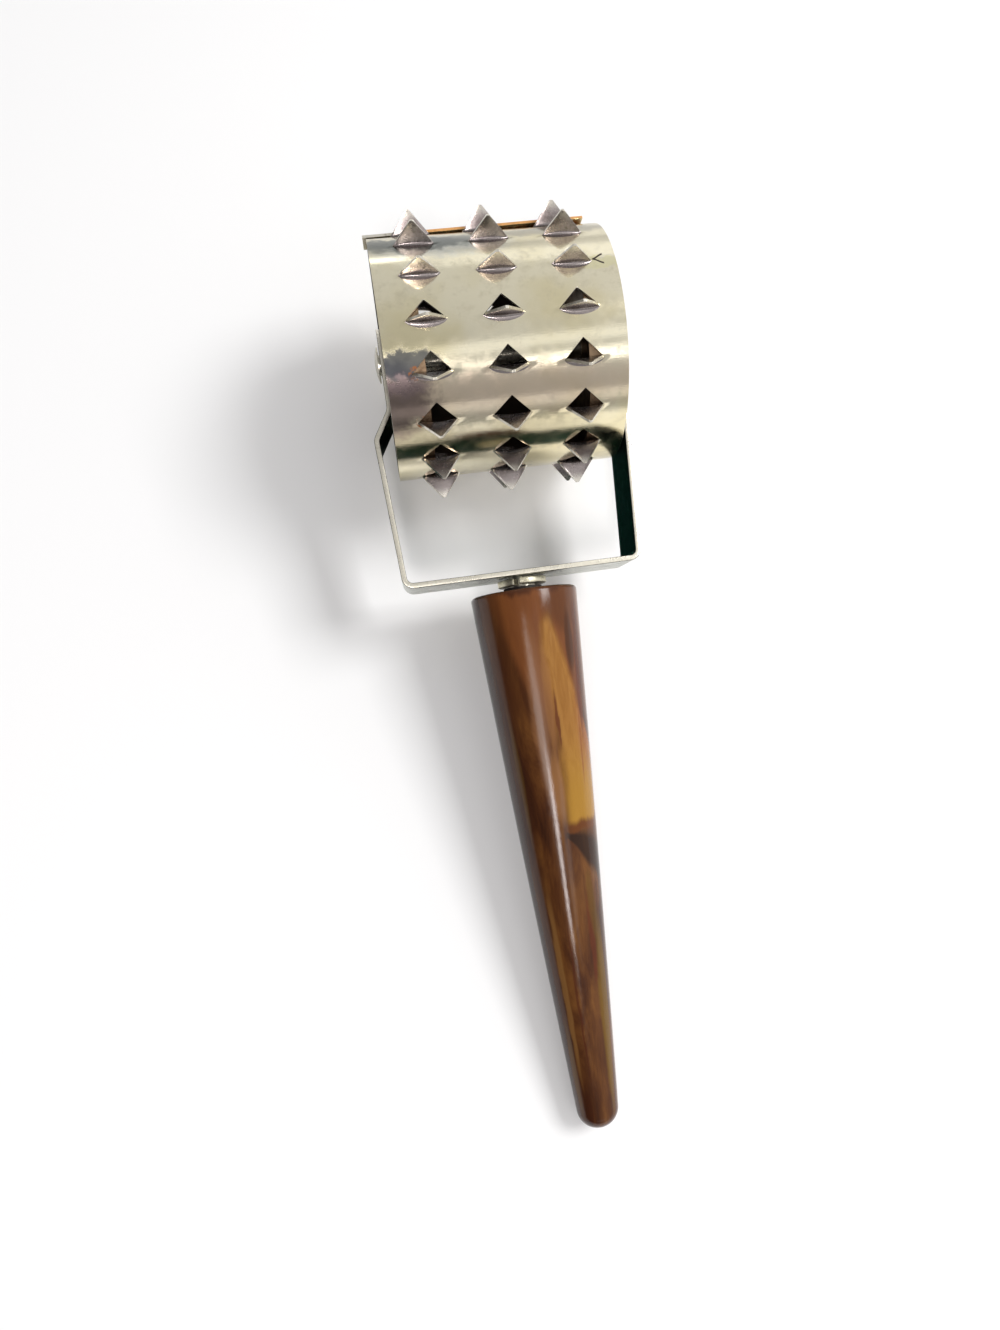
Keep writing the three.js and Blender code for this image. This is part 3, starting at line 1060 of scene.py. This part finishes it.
@dataclass
class PunchedDrum:
    """The rolled sheet with rows of triangular tabs punched outwards and its lapped end."""

    radius: float = DRUM_RADIUS
    shift: float = DRUM_SHIFT
    length: float = 52.2
    sheet: float = 0.6
    rows: int = 16
    first_angle: float = 2.083
    column_places: tuple[float, ...] = (-16.3, 0.0, 16.3)
    half_width: float = 4.5
    hole_height: float = 4.5
    height: float = 5.3
    lean: float = 4.1
    tip_half: float = 0.35
    lip: float = 1.5
    rise: float = 0.9
    sweep: float = 1.3
    fullness: float = 0.7
    face: float = 0.3
    before: float = 6.6
    columns: int = 12
    plain_columns: int = 4
    beyond_steps: int = 2
    hole_steps: int = 6
    below_steps: int = 4
    lip_steps: int = 8
    tab_steps: int = 6
    lap_row: int = -3
    lap_angles: tuple[float, float] = (4.5, 18.5)
    lap_ends: tuple[float, float] = (-26.9, 24.0)
    lap_lifts: tuple[float, float] = (1.0, 1.9)
    lap_curve: float = 1.3
    lap_sink: float = 0.05
    lap_grid: tuple[int, int] = (20, 8)
    rust_start: float = -14.0
    burr: float = 0.1
    burr_angle: float = 50
    smooth_angle: float = 40
    finish: PlatedSheet = PlatedSheet()
    cut: PlainMetal = PlainMetal("cut_sheet_edge", "e4dfd2", "8f8776", 0.3)
    # Painted shade: the teeth are a darker mauve grey than the sheet they are pressed from; their
    # tips are rubbed bright.
    tooth: PlainMetal = ToothMetal("pressed_tooth_painted_darker", "9d9492", "696160", 0.2, 0.15)
    lap: PlainMetal = PlainMetal("lapped_sheet_end", "dcd3b8", "a89e84", 0.2)
    rust: PlainMetal = PlainMetal("rusted_lap_edge", "cf9a5e", "8a5a30", 0.6, 0.2, 0.2)

    @property
    def after(self) -> float:
        """The way from a row's base line to the next row's sheet."""
        return math.tau * self.radius / self.rows - self.before

    def on_drum(
        self, row: int, middle: float, across: float, along: float, height: float
    ) -> Vector:
        """Find a point over the sheet.

        Args:
            row: The row of teeth that along is counted from.
            middle: Place along the pin that across is counted from.
            across: Place along the pin.
            along: Way round the sheet from the row's base line towards the handle.
            height: Height over the sheet.

        Returns:
            The point in the tool's millimetres.
        """
        turn = math.radians(self.first_angle + row * 360 / self.rows) + along / self.radius
        reach, place = self.radius + height, middle + across + self.shift
        return Vector((place, -reach * math.sin(turn), reach * math.cos(turn)))

    def lip_share(self, s: float) -> float:
        """Return how full the pressed lip is at a share of the way across."""
        return max(0.0, 1 - (2 * s - 1) ** 2) ** self.fullness

    def below(self, s: float, t: float) -> Triple:
        """Return a point of the sheet between the next row and the lip, as fold does."""
        return self.half_width * (2 * s - 1), blend(self.after, self.lip * self.lip_share(s), t), 0

    def fold(self, s: float, t: float) -> Triple:
        """Find a point of the pressed lip, which curves up out of the sheet.

        Args:
            s: Its share of the way across.
            t: Its share of the way up.

        Returns:
            Its places across and along from the tooth's middle, and its height.
        """
        full, turn = self.lip_share(s), t * math.pi / 2
        along = blend(self.face, self.lip, (1 - math.sin(turn)) ** self.sweep) * full
        return self.half_width * (2 * s - 1), along, self.rise * full * (1 - math.cos(turn))

    def tab(self, s: float, t: float) -> Triple:
        """Find a point of the tab, which narrows from the lip to its worn tip.

        Args:
            s: Its share of the way across.
            t: Its share of the way up.

        Returns:
            Its places across and along from the tooth's middle, and its height.
        """
        full, lean = self.lip_share(s), math.radians(self.lean)
        along = blend(self.face * full, self.face + self.height * math.sin(lean), t)
        height = blend(self.rise * full, self.height * math.cos(lean), t)
        return blend(self.half_width, self.tip_half, t) * (2 * s - 1), along, height

    def add_tooth(self, bm: BMesh, row: int, middle: float) -> None:
        """Add one tooth with the sheet round its hole.

        Args:
            bm: The sheet.
            row: The tooth's row.
            middle: The tooth's place along the pin.
        """
        half, depth, beyond = self.half_width, self.hole_height, -self.before
        wide, side, steps = self.columns, self.columns // 2, self.hole_steps
        flat, bent = Finish.SHEET.value, Finish.TOOTH.value

        def above(s: float, t: float) -> Triple:
            """Return a point of the sheet between the hole's tip and the row before."""
            return blend(-half, half, s), blend(-depth, beyond, t), 0

        parts = (
            (flat, wide, self.beyond_steps, above),
            (flat, side, steps, lambda s, t: (blend(-half, half * (t - 1), s), -depth * t, 0)),
            (flat, side, steps, lambda s, t: (blend(half * (1 - t), half, s), -depth * t, 0)),
            (flat, wide, self.below_steps, self.below),
            (bent, wide, self.lip_steps, self.fold),
            (bent, wide, self.tab_steps, self.tab),
        )
        for finish, columns, rows, lay in parts:
            patch(
                bm, columns, rows, lambda s, t: self.on_drum(row, middle, *lay(s, t)), finish
            )

    def add_plain(self, bm: BMesh, row: int, start: float, end: float) -> None:
        """Add the plain sheet beside a column of teeth along one row.

        Args:
            bm: The sheet.
            row: The row.
            start: Where the strip starts along the pin.
            end: Where it ends.
        """
        parts = (
            (-self.before, -self.hole_height, self.beyond_steps),
            (-self.hole_height, 0.0, self.hole_steps),
            (0.0, self.after, self.below_steps),
        )
        for low, high, steps in parts:
            patch(
                bm,
                self.plain_columns,
                steps,
                lambda s, t: self.on_drum(row, 0, blend(start, end, s), blend(high, low, t), 0),
            )

    def lap_point(self, s: float, t: float) -> Vector:
        """Find a point of the sheet's outer end, which laps over its start between two rows.

        Args:
            s: Its share of the way across.
            t: Its share of the way from the end's edge to where it lies down.

        Returns:
            The point in the tool's millimetres.
        """
        lift = blend(*self.lap_lifts, s) * (1 - t) ** self.lap_curve - self.lap_sink
        along = -math.radians(blend(*self.lap_angles, t)) * self.radius
        return self.on_drum(self.lap_row, 0, blend(*self.lap_ends, s), along, lift)

    def build(self) -> None:
        """Build the drum's sheet."""
        bm = bmesh.new()
        half = self.half_width
        starts = [-self.length / 2, *(middle + half for middle in self.column_places)]
        ends = [*(middle - half for middle in self.column_places), self.length / 2]
        for row in range(self.rows):
            for middle, start, end in zip(self.column_places, starts, ends):
                self.add_tooth(bm, row, middle)
                self.add_plain(bm, row, start, end)
            self.add_plain(bm, row, starts[-1], ends[-1])
        bmesh.ops.remove_doubles(bm, verts=bm.verts, dist=NEAR)
        patch(bm, *self.lap_grid, self.lap_point, Finish.LAP.value)
        for face in bm.faces:
            lapped = face.material_index == Finish.LAP.value
            if lapped and face.calc_center_median().x < self.rust_start:
                face.material_index = Finish.CLEAN_LAP.value
        cut, lap = self.cut, self.lap
        finishes = [self.finish, cut, self.tooth, cut, lap, self.rust, lap, cut]
        piece = make_piece("punched_drum", bm, finishes, Body.DRUM, "drum_sheet")
        self.thicken(piece)
        settle_modifiers(piece, self.smooth_angle)

    def thicken(self, piece: Object) -> None:
        """Give the sheet its thickness inwards and take the sharpness off its edges.

        Args:
            piece: The drum's sheet.
        """
        wall = piece.modifiers.new("wall", "SOLIDIFY")
        wall.thickness = self.sheet * MM
        wall.material_offset_rim = 1
        wall.offset = -1
        wall.use_even_offset = True
        wall.thickness_clamp = 0.0
        edge = piece.modifiers.new("edge", "BEVEL")
        edge.width = self.burr * MM
        edge.segments = 1
        edge.limit_method = "ANGLE"
        edge.angle_limit = math.radians(self.burr_angle)


@dataclass
class EndDiscs:
    """The pressed discs that close the drum, each with its flange and a collar on the pin."""

    rim: float = 26.1
    bore: float = 2.7
    face: float = 23.1
    sheet: float = 0.8
    bend: float = 1.4
    flange: float = 5.5
    collar: float = 2.2
    shift: float = DRUM_SHIFT
    segments: int = 96
    outer_steps: int = 5
    inner_steps: int = 3
    finish: PlainMetal = PlainMetal("dull_disc_steel", "7d6a55", "4a2f1c", 0.38, 0.2)

    def build(self) -> None:
        """Build both discs; the left one is the right one turned round."""
        back, inner = self.face - self.sheet, self.rim - self.sheet
        foot, neck = self.face - self.flange, self.bore + self.sheet
        for side, turn in (("left", math.pi), ("right", 0.0)):
            outline = Outline(
                ALONG_PIN,
                (self.bore, self.face),
                (self.rim, self.face),
                (self.rim, foot),
                (inner, foot),
                (inner, back),
                (neck, back),
                (neck, self.face - self.collar),
                (self.bore, self.face - self.collar),
                (self.bore, self.face),
            )
            bm = outline.spun(self.segments)
            round_edges(bm, outline.circle(self.rim, self.face), self.bend, self.outer_steps)
            inner_bend = self.bend - self.sheet
            round_edges(bm, outline.circle(inner, back), inner_bend, self.inner_steps)
            moved = Matrix.Translation(ALONG_PIN * self.shift) @ Matrix.Rotation(turn, 4, "Z")
            bm.transform(moved)
            name, node = f"pressed_end_disc_{side}", f"end_disc_{side}"
            make_piece(name, bm, [self.finish], Body.DRUM, node)


# The yoke and its pin


@dataclass
class AxlePin:
    """The pin through both arms, closed over at each end in a low dome."""

    radius: float = 2.4
    head: float = 4.1
    seat: float = 26.1
    rim: float = 0.3
    dome: float = 0.7
    dome_steps: int = 8
    segments: int = 48
    finish: PlainMetal = PlainMetal("bright_pin_steel", "c9c4b4", "8a8474", 0.22)

    def build(self) -> None:
        """Build one half of the pin, mirror it and join the two."""
        ball = (self.head**2 + self.dome**2) / (2 * self.dome)
        turn = math.degrees(math.asin(self.head / ball))
        rim = self.seat + self.rim
        outline = Outline(
            ALONG_PIN,
            (0, 0),
            (self.radius, 0),
            (self.radius, self.seat),
            (self.head, self.seat),
            (self.head, rim),
        )
        outline.arc((0, rim + self.dome - ball), turn, self.dome_steps)
        bm = outline.spun(self.segments)
        middle = [face for face in bm.faces if all(abs(vert.co.x) < NEAR for vert in face.verts)]
        bmesh.ops.delete(bm, geom=middle, context="FACES")
        bmesh.ops.mirror(bm, geom=all_of(bm), axis="X", merge_dist=TOUCHING)
        close_up(bm)
        make_piece("riveted_pin", bm, [self.finish], Body.YOKE, "axle_pin")


class BentPath:
    """The outer face of half the yoke in side view, from the arm's end to the bar's middle."""

    FACET = 8
    LEAST_FACETS = 4
    SLACK = 1e-6

    def __init__(self, corners: Pairs, radii: Sequence[float]) -> None:
        """Round the corners of a chain and measure it.

        Args:
            corners: Places along the pin and down the handle, from the arm's end.
            radii: The radius at each corner between the two ends.
        """
        places = [Vector(corner) for corner in corners]
        self.points = [places[0]]
        for before, here, after, radius in zip(places, places[1:], places[2:], radii):
            back, ahead = (before - here).normalized(), (after - here).normalized()
            half = back.angle(ahead) / 2
            start = here + back * radius / math.tan(half)
            end = here + ahead * radius / math.tan(half)
            centre = here + (back + ahead).normalized() * radius / math.sin(half)
            sweep = (start - centre).angle_signed(end - centre)
            steps = max(self.LEAST_FACETS, round(abs(math.degrees(sweep)) / self.FACET))
            for step in range(steps + 1):
                turned = Matrix.Rotation(-sweep * step / steps, 2) @ (start - centre)
                self.points.append(centre + turned)
        self.points.append(places[-1])
        self.lengths = [0.0]
        for first, second in zip(self.points, self.points[1:]):
            self.lengths.append(self.lengths[-1] + (second - first).length)
        self.total = self.lengths[-1]

    def at(self, length: float) -> tuple[Vector, Vector]:
        """Find the point at a length along the half and the outward direction there.

        Args:
            length: The length from the arm's end.

        Returns:
            The point and the outward normal, both across and down.
        """
        place = sum(1 for step in self.lengths[1:-1] if step <= length + self.SLACK)
        start, end = self.lengths[place : place + 2]
        share = (length - start) / (end - start)
        ahead = self.direction(place)
        behind = self.direction(place - 1) if share < TOUCHING and place else ahead
        tangent = (ahead + behind).normalized()
        point = self.points[place].lerp(self.points[place + 1], share)
        return point, Vector((-tangent.y, tangent.x))

    def direction(self, place: int) -> Vector:
        """Return the direction of one straight piece of the chain."""
        return (self.points[place + 1] - self.points[place]).normalized()


@dataclass
class BentYoke:
    """One strip bent into both arms and the crossbar, cut and drilled flat and then bent."""

    width: float = 16.0
    strip: float = STRIP
    pin_hole: float = 2.7
    stud_hole: float = STUD_BORE
    sink: float = 1.1
    arm_end: float = 25.8
    arm_bend: float = 29.7
    arm_foot: float = 27.8
    jog_drop: float = 12.8
    bend_drop: float = 19.4
    bar_face: float = BAR_FACE
    radii: Triple = (3.0, 3.0, 2.6)
    edge: float = 0.26
    edge_steps: int = 3
    edge_slant: tuple[float, float] = (0.1, 0.99)
    spokes: int = 48
    spacing: float = 3.0
    smooth_angle: float = 30
    cut: PlainMetal = PlainMetal("strip_cut_edge", "ece6d6", "cbc5b2", 0.25)
    outside: PlainMetal = PlainMetal("strip_outer_face", "a3a59a", "7c7e74", 0.22)
    # Painted reflection: the inner faces are a dark teal, with a teal glancing tint, standing for
    # reflected dark surroundings.
    inside: PlainMetal = PlainMetal(
        "strip_inner_face_painted_dark_reflection", "304a47", "253a37", 0.3, glancing="5c7d76"
    )
    # Painted reflection: the rounded borders are dark lines standing for reflected dark
    # surroundings.
    border: PlainMetal = PlainMetal("strip_rounded_edge_painted_dark_reflection", "55524a", "3b3932", 0.35)

    def pad(self, bm: BMesh, hole: float, middle: float, rounded: bool) -> None:
        """Add a pad round a hole, square or with one round end.

        Args:
            bm: The flat strip, with its length along X.
            hole: The hole's radius.
            middle: The hole's place along the strip.
            rounded: Whether the side towards the strip's end is round.
        """
        half = self.width / 2
        inner = bmesh.ops.create_circle(bm, segments=self.spokes, radius=hole)["verts"]
        outer = bmesh.ops.create_circle(bm, segments=self.spokes, radius=half)["verts"]
        for vert in outer:
            if vert.co.x > TOUCHING or not rounded:
                vert.co *= half / max(abs(vert.co.x), abs(vert.co.y))
        for vert in inner + outer:
            vert.co.x += middle
        rings = {edge for vert in inner + outer for edge in vert.link_edges}
        bmesh.ops.bridge_loops(bm, edges=list(rings))

    def stations(self, path: BentPath) -> list[float]:
        """Find the places along the half strip where it gets a row of corners.

        Args:
            path: The path that the half follows.

        Returns:
            The places, from the pin's pad to the stud's pad.
        """
        first, last = self.width, path.total - self.width / 2
        marks = [first, *(place for place in path.lengths if first < place < last), last]
        places = [first]
        for start, end in zip(marks, marks[1:]):
            parts = math.ceil((end - start) / self.spacing)
            places += [blend(start, end, (part + 1) / parts) for part in range(parts)]
        return places

    def cut_flat(self, path: BentPath) -> BMesh:
        """Cut and drill the flat strip.

        Args:
            path: The path that each half will follow.

        Returns:
            The strip, with its length along X and its outer face up.
        """
        bm = bmesh.new()
        self.pad(bm, self.pin_hole, self.width / 2, True)
        places = self.stations(path)
        chain = [
            edge
            for edge in bm.edges
            if all(abs(vert.co.x - places[0]) < TOUCHING for vert in edge.verts)
        ]
        for start, end in zip(places, places[1:]):
            made = bmesh.ops.extrude_edge_only(bm, edges=chain)["geom"]
            moved = of_kind(made, BMVert)
            bmesh.ops.translate(bm, verts=moved, vec=(end - start, 0, 0))
            chain = [
                edge for edge in of_kind(made, BMEdge) if all(vert in moved for vert in edge.verts)
            ]
        for vert in of_kind(bmesh.ops.duplicate(bm, geom=all_of(bm))["geom"], BMVert):
            vert.co.x = 2 * path.total - vert.co.x
        self.pad(bm, self.stud_hole, path.total, False)
        close_up(bm)
        walls = bmesh.ops.extrude_face_region(bm, geom=bm.faces[:], use_keep_orig=True)["geom"]
        bmesh.ops.translate(bm, verts=of_kind(walls, BMVert), vec=(0, 0, -self.strip))
        bmesh.ops.recalc_face_normals(bm, faces=bm.faces)
        return bm

    def round_and_mark(self, bm: BMesh, middle: float) -> None:
        """Round the strip's edges, sink the stud's seat and mark each face's finish.

        Args:
            bm: The flat strip.
            middle: The stud hole's place along it.
        """
        for face in bm.faces:
            face.material_index = round(face.normal.z) % 3  # 0 cut, 1 outside, 2 inside
        seat = {
            vert
            for vert in bm.verts
            if abs(vert.co.z + self.strip) < TOUCHING
            and abs(math.hypot(vert.co.x - middle, vert.co.y) - self.stud_hole) < TOUCHING
        }
        round_edges(bm, [edge for edge in bm.edges if seat.issuperset(edge.verts)], self.sink, 1)
        round_edges(bm, sharp_edges(bm), self.edge, self.edge_steps)
        bm.normal_update()
        low, high = self.edge_slant
        for face in bm.faces:
            if low < abs(face.normal.z) < high:
                # The rounded borders take the finish that is painted dark as a reflection.
                face.material_index = 3  # The rounded border

    def build(self) -> None:
        """Build the yoke: cut it flat, then bend it along its path."""
        corners = (
            (self.arm_end, self.width / 2),
            (self.arm_end, -self.jog_drop),
            (self.arm_bend, -self.bend_drop),
            (self.arm_foot, -self.bar_face),
            (0.0, -self.bar_face),
        )
        path = BentPath(corners, self.radii)
        bm = self.cut_flat(path)
        self.round_and_mark(bm, path.total)
        for vert in bm.verts:
            length, side, depth = vert.co.x, vert.co.y, -vert.co.z
            mirrored = length > path.total
            point, outward = path.at(2 * path.total - length if mirrored else length)
            point = point - outward * depth
            vert.co = Vector((-point.x if mirrored else point.x, point.y, side))
        bmesh.ops.recalc_face_normals(bm, faces=bm.faces)
        finishes = [self.cut, self.outside, self.inside, self.border]
        smooth = self.smooth_angle
        make_piece("bent_yoke", bm, finishes, Body.YOKE, "yoke", smooth)


# The neck and handle


@dataclass
class Neck:
    """The stud through the crossbar, the split spring washer and the flat washer under it."""

    stud: float = 3.1
    stud_head: float = 4.2
    stud_sink: float = 0.05
    stud_end: float = 85.289
    stud_rounding: float = 0.15
    stud_segments: int = 48
    bar_inside: float = BAR_FACE - STRIP
    washer_inner: float = STUD_BORE
    washer_outer: float = 5.8
    washer_face: float = 54.089
    washer_thickness: float = 1.55
    washer_rise: float = 0.2
    washer_steps: int = 72
    washer_rounding: float = 0.22
    split: float = 12.0
    split_turn: float = 250.0
    flat_radius: float = 4.6
    flat_face: float = 56.139
    flat_thickness: float = 0.85
    flat_rounding: float = 0.12
    flat_segments: int = 64
    rounding_steps: int = 2
    steel: PlainMetal = PlainMetal("bright_stud_steel", "c9c4b4", "8a8474", 0.25)
    washer_steel: PlainMetal = PlainMetal("bright_washer_steel", "ebe5cc", "6f6853", 0.36)
    # The near-black flat washer fills the dark band under the spring washer, which is partly shade
    # in the gap there.
    fibre: PlainMetal = PlainMetal("dark_fibre", "241b16", "120d0b", 0.6, 0.2, 0.0)

    def build(self) -> None:
        """Build the neck's three pieces, one after the other."""
        head, stem = self.bar_inside + self.stud_sink, self.stud_head - self.stud
        stud = Outline(
            DOWN_HANDLE,
            (0, head),
            (self.stud_head, head),
            (self.stud, head + stem),
            (self.stud, self.stud_end),
            (0, self.stud_end),
        ).spun(self.stud_segments)
        end = self.flat_face + self.flat_thickness
        flat = Outline(
            DOWN_HANDLE,
            (self.washer_inner, self.flat_face),
            (self.flat_radius, self.flat_face),
            (self.flat_radius, end),
            (self.washer_inner, end),
            (self.washer_inner, self.flat_face),
        ).spun(self.flat_segments)
        self.finish("handle_stud_turned", stud, self.stud_rounding, self.steel, "handle_stud")
        split = self.split_ring()
        self.finish("split_washer", split, self.washer_rounding, self.washer_steel, "lock_washer")
        self.finish("flat_washer", flat, self.flat_rounding, self.fibre, "neck_washer")

    def finish(self, name: str, bm: BMesh, rounding: float, look: Look, node: str) -> None:
        """Round a piece's sharp edges and make it.

        Args:
            name: The piece's name.
            bm: Its shape.
            rounding: How wide its edges are rounded.
            look: Its finish.
            node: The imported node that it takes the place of.
        """
        round_edges(bm, sharp_edges(bm), rounding, self.rounding_steps)
        make_piece(name, bm, [look], Body.YOKE, node)

    def split_ring(self) -> BMesh:
        """Sweep the split washer's section round, rising a little.

        Returns:
            The washer with its ends apart.
        """
        bm = bmesh.new()
        width = self.washer_outer - self.washer_inner
        section = bmesh.ops.create_grid(bm, x_segments=1, y_segments=1, size=0.5)["verts"]
        for vert in section:
            radius = self.washer_inner + (vert.co.x + 0.5) * width
            drop = self.washer_face + (vert.co.y + 0.5) * self.washer_thickness
            vert.co = Vector((radius, -drop, 0))
        bm.transform(Matrix.Rotation(math.radians(self.split_turn + self.split / 2), 4, "Y"))
        bmesh.ops.spin(
            bm,
            geom=all_of(bm),
            cent=(0, 0, 0),
            axis=(0, 1, 0),
            dvec=(0, -self.washer_rise / self.washer_steps, 0),
            angle=math.radians(360 - self.split),
            steps=self.washer_steps,
            use_merge=False,
        )
        bmesh.ops.recalc_face_normals(bm, faces=bm.faces)
        return bm


@dataclass
class TaperedHandle:
    """The cast handle: a faintly bellied taper with a blunt end and a blind hole for the stud."""

    top: float = HANDLE_TOP
    length: float = 127.6
    top_radius: float = 12.7
    end_radius: float = 5.0
    end_rounding: float = 4.3
    belly: float = 0.2
    rounding: float = 1.0
    bore: float = STUD_BORE
    hole_end: float = 86.789
    taper_steps: int = 18
    end_steps: int = 12
    rounding_steps: int = 6
    segments: int = 128
    finish: CastResin = CastResin()

    def build(self) -> None:
        """Build the handle from its hole outwards and down to its end."""
        tip = self.top + self.length
        centre = self.end_radius - self.end_rounding, tip - self.end_rounding
        taper = math.atan2(self.top_radius - self.end_radius, centre[1] - self.top)
        side = self.end_rounding * Vector((math.cos(taper), math.sin(taper))) + Vector(centre)
        outline = Outline(
            DOWN_HANDLE,
            (0, self.hole_end),
            (self.bore, self.hole_end),
            (self.bore, self.top),
            (self.top_radius, self.top),
        )
        for step in range(1, self.taper_steps + 1):
            share = step / self.taper_steps
            swell = self.belly * math.sin(math.pi * share)
            radius = blend(self.top_radius, side.x, share) + swell
            outline.lines((radius, blend(self.top, side.y, share)))
        outline.arc(centre, 90 - math.degrees(taper), self.end_steps)
        outline.lines((0, tip))
        bm = outline.spun(self.segments)
        top_edge = outline.circle(self.top_radius, self.top)
        round_edges(bm, top_edge, self.rounding, self.rounding_steps)
        make_piece("tapered_handle", bm, [self.finish], Body.YOKE, "handle")


# The studio


@dataclass(frozen=True)
class Lamp:
    """A soft rectangular lamp that looks at the tool."""

    name: str
    towards: Triple
    size: tuple[float, float]
    watts: float
    tint: Triple = (1.0, 1.0, 1.0)
    distance: float = 1.0

    def build(self, target: Vector) -> None:
        """Hang the lamp.

        Args:
            target: The point that it looks at.
        """
        light = bpy.data.lights.new(self.name, "AREA")
        light.shape = "RECTANGLE"
        light.size, light.size_y = self.size
        light.energy = self.watts
        light.color = self.tint
        lamp = add_object(self.name, light)
        way = Vector(self.towards).normalized()
        lamp.location = target + way * self.distance
        lamp.rotation_euler = way.to_track_quat("Z", "Y").to_euler()


@dataclass
class Studio:
    """The pale floor, the soft lamps and the sky that lights the rest."""

    floor_half: float = 3.0
    target: Triple = (0.0, 0.0, 0.02)
    bright_side: Triple = (0.934, 0.327, 0.14)
    dim: str = "505052"
    bright: str = "e2e2e2"
    lamps: tuple[Lamp, ...] = (
        Lamp("key_lamp", (-0.125, -0.5, 0.855), (0.14, 0.22), 2.1, (1.0, 0.94, 0.93)),
        Lamp("left_lamp", (-0.22, -0.34, 0.91), (0.26, 0.24), 0.9),
        Lamp("wide_lamp", (0.25, -0.5, 0.83), (0.28, 0.15), 0.22),
        Lamp("broad_lamp", (0.1, -0.26, 0.96), (0.5, 0.16), 0.1),
        Lamp("side_lamp", (0.6, 0.14, 0.79), (0.4, 0.32), 5.8),
        Lamp("front_lamp", (0.12, -0.945, 0.31), (0.6, 0.2), 0.15),
        Lamp("far_lamp", (-0.04, 0.96, 0.2), (0.14, 0.1), 0.08),
        Lamp("back_lamp", (0.25, 0.92, 0.3), (0.4, 0.3), 0.13),
    )

    def build(self) -> None:
        """Lay the floor, hang the lamps and light the sky."""
        bm = bmesh.new()
        bmesh.ops.create_grid(bm, x_segments=1, y_segments=1, size=self.floor_half)
        floor = add_object("floor", make_mesh("floor", bm, [PaleFloor()]))
        for lamp in self.lamps:
            lamp.build(Vector(self.target))
        self.light_sky()

    def light_sky(self) -> None:
        """Give the world a soft sky that is paler on the right and behind, like a window's side."""
        world = bpy.data.worlds.new("soft_sky")
        world.use_nodes = True
        bpy.context.scene.world = world
        tree = Tree(world.node_tree)
        direction = tree.add("TexCoord").outputs["Generated"]
        facing = tree.add("VectorMath", (direction, self.bright_side), operation="DOT_PRODUCT")
        share = tree.spread(facing.outputs["Value"], -1.0, 1.0)
        tone = tree.mix(share, self.dim, self.bright)
        sky = tree.add("Background", {"Color": tone, "Strength": 1.0})
        tree.add("OutputWorld", {"Surface": sky.outputs[0]})


@dataclass
class Viewpoint:
    """The camera where the photograph was taken from, its place and turn in the tool's frame."""

    place: Triple = (-26.146, -73.24, 209.193)
    turn: Triple = (1.7626, -8.2819, -8.29)
    lens: float = 23.9007
    sensor: float = 36.0
    nearest: float = 0.005
    shift: tuple[float, float] = (-0.03892, -0.01368)

    def build(self) -> None:
        """Set up the camera and make it the scene's."""
        lens = bpy.data.cameras.new("photo_view")
        lens.sensor_fit = "AUTO"
        lens.sensor_width = self.sensor
        lens.lens = self.lens
        lens.shift_x, lens.shift_y = self.shift
        lens.clip_start = self.nearest
        camera = add_object("photo_view", lens)
        camera.location = REST.matrix() @ Vector(self.place)
        turned = Euler([math.radians(angle) for angle in self.turn], "XYZ").to_matrix()
        camera.rotation_euler = (Matrix.Rotation(REST.tilt, 3, "X") @ turned).to_euler()
        bpy.context.scene.camera = camera


def main() -> None:
    """Build the tool's pieces in order, then the studio and the camera."""
    logging.basicConfig(level=logging.INFO)
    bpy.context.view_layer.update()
    PunchedDrum().build()
    EndDiscs().build()
    AxlePin().build()
    BentYoke().build()
    Neck().build()
    TaperedHandle().build()
    Studio().build()
    Viewpoint().build()
    bpy.context.scene.view_settings.view_transform = "Standard"


if __name__ == "__main__":
    main()
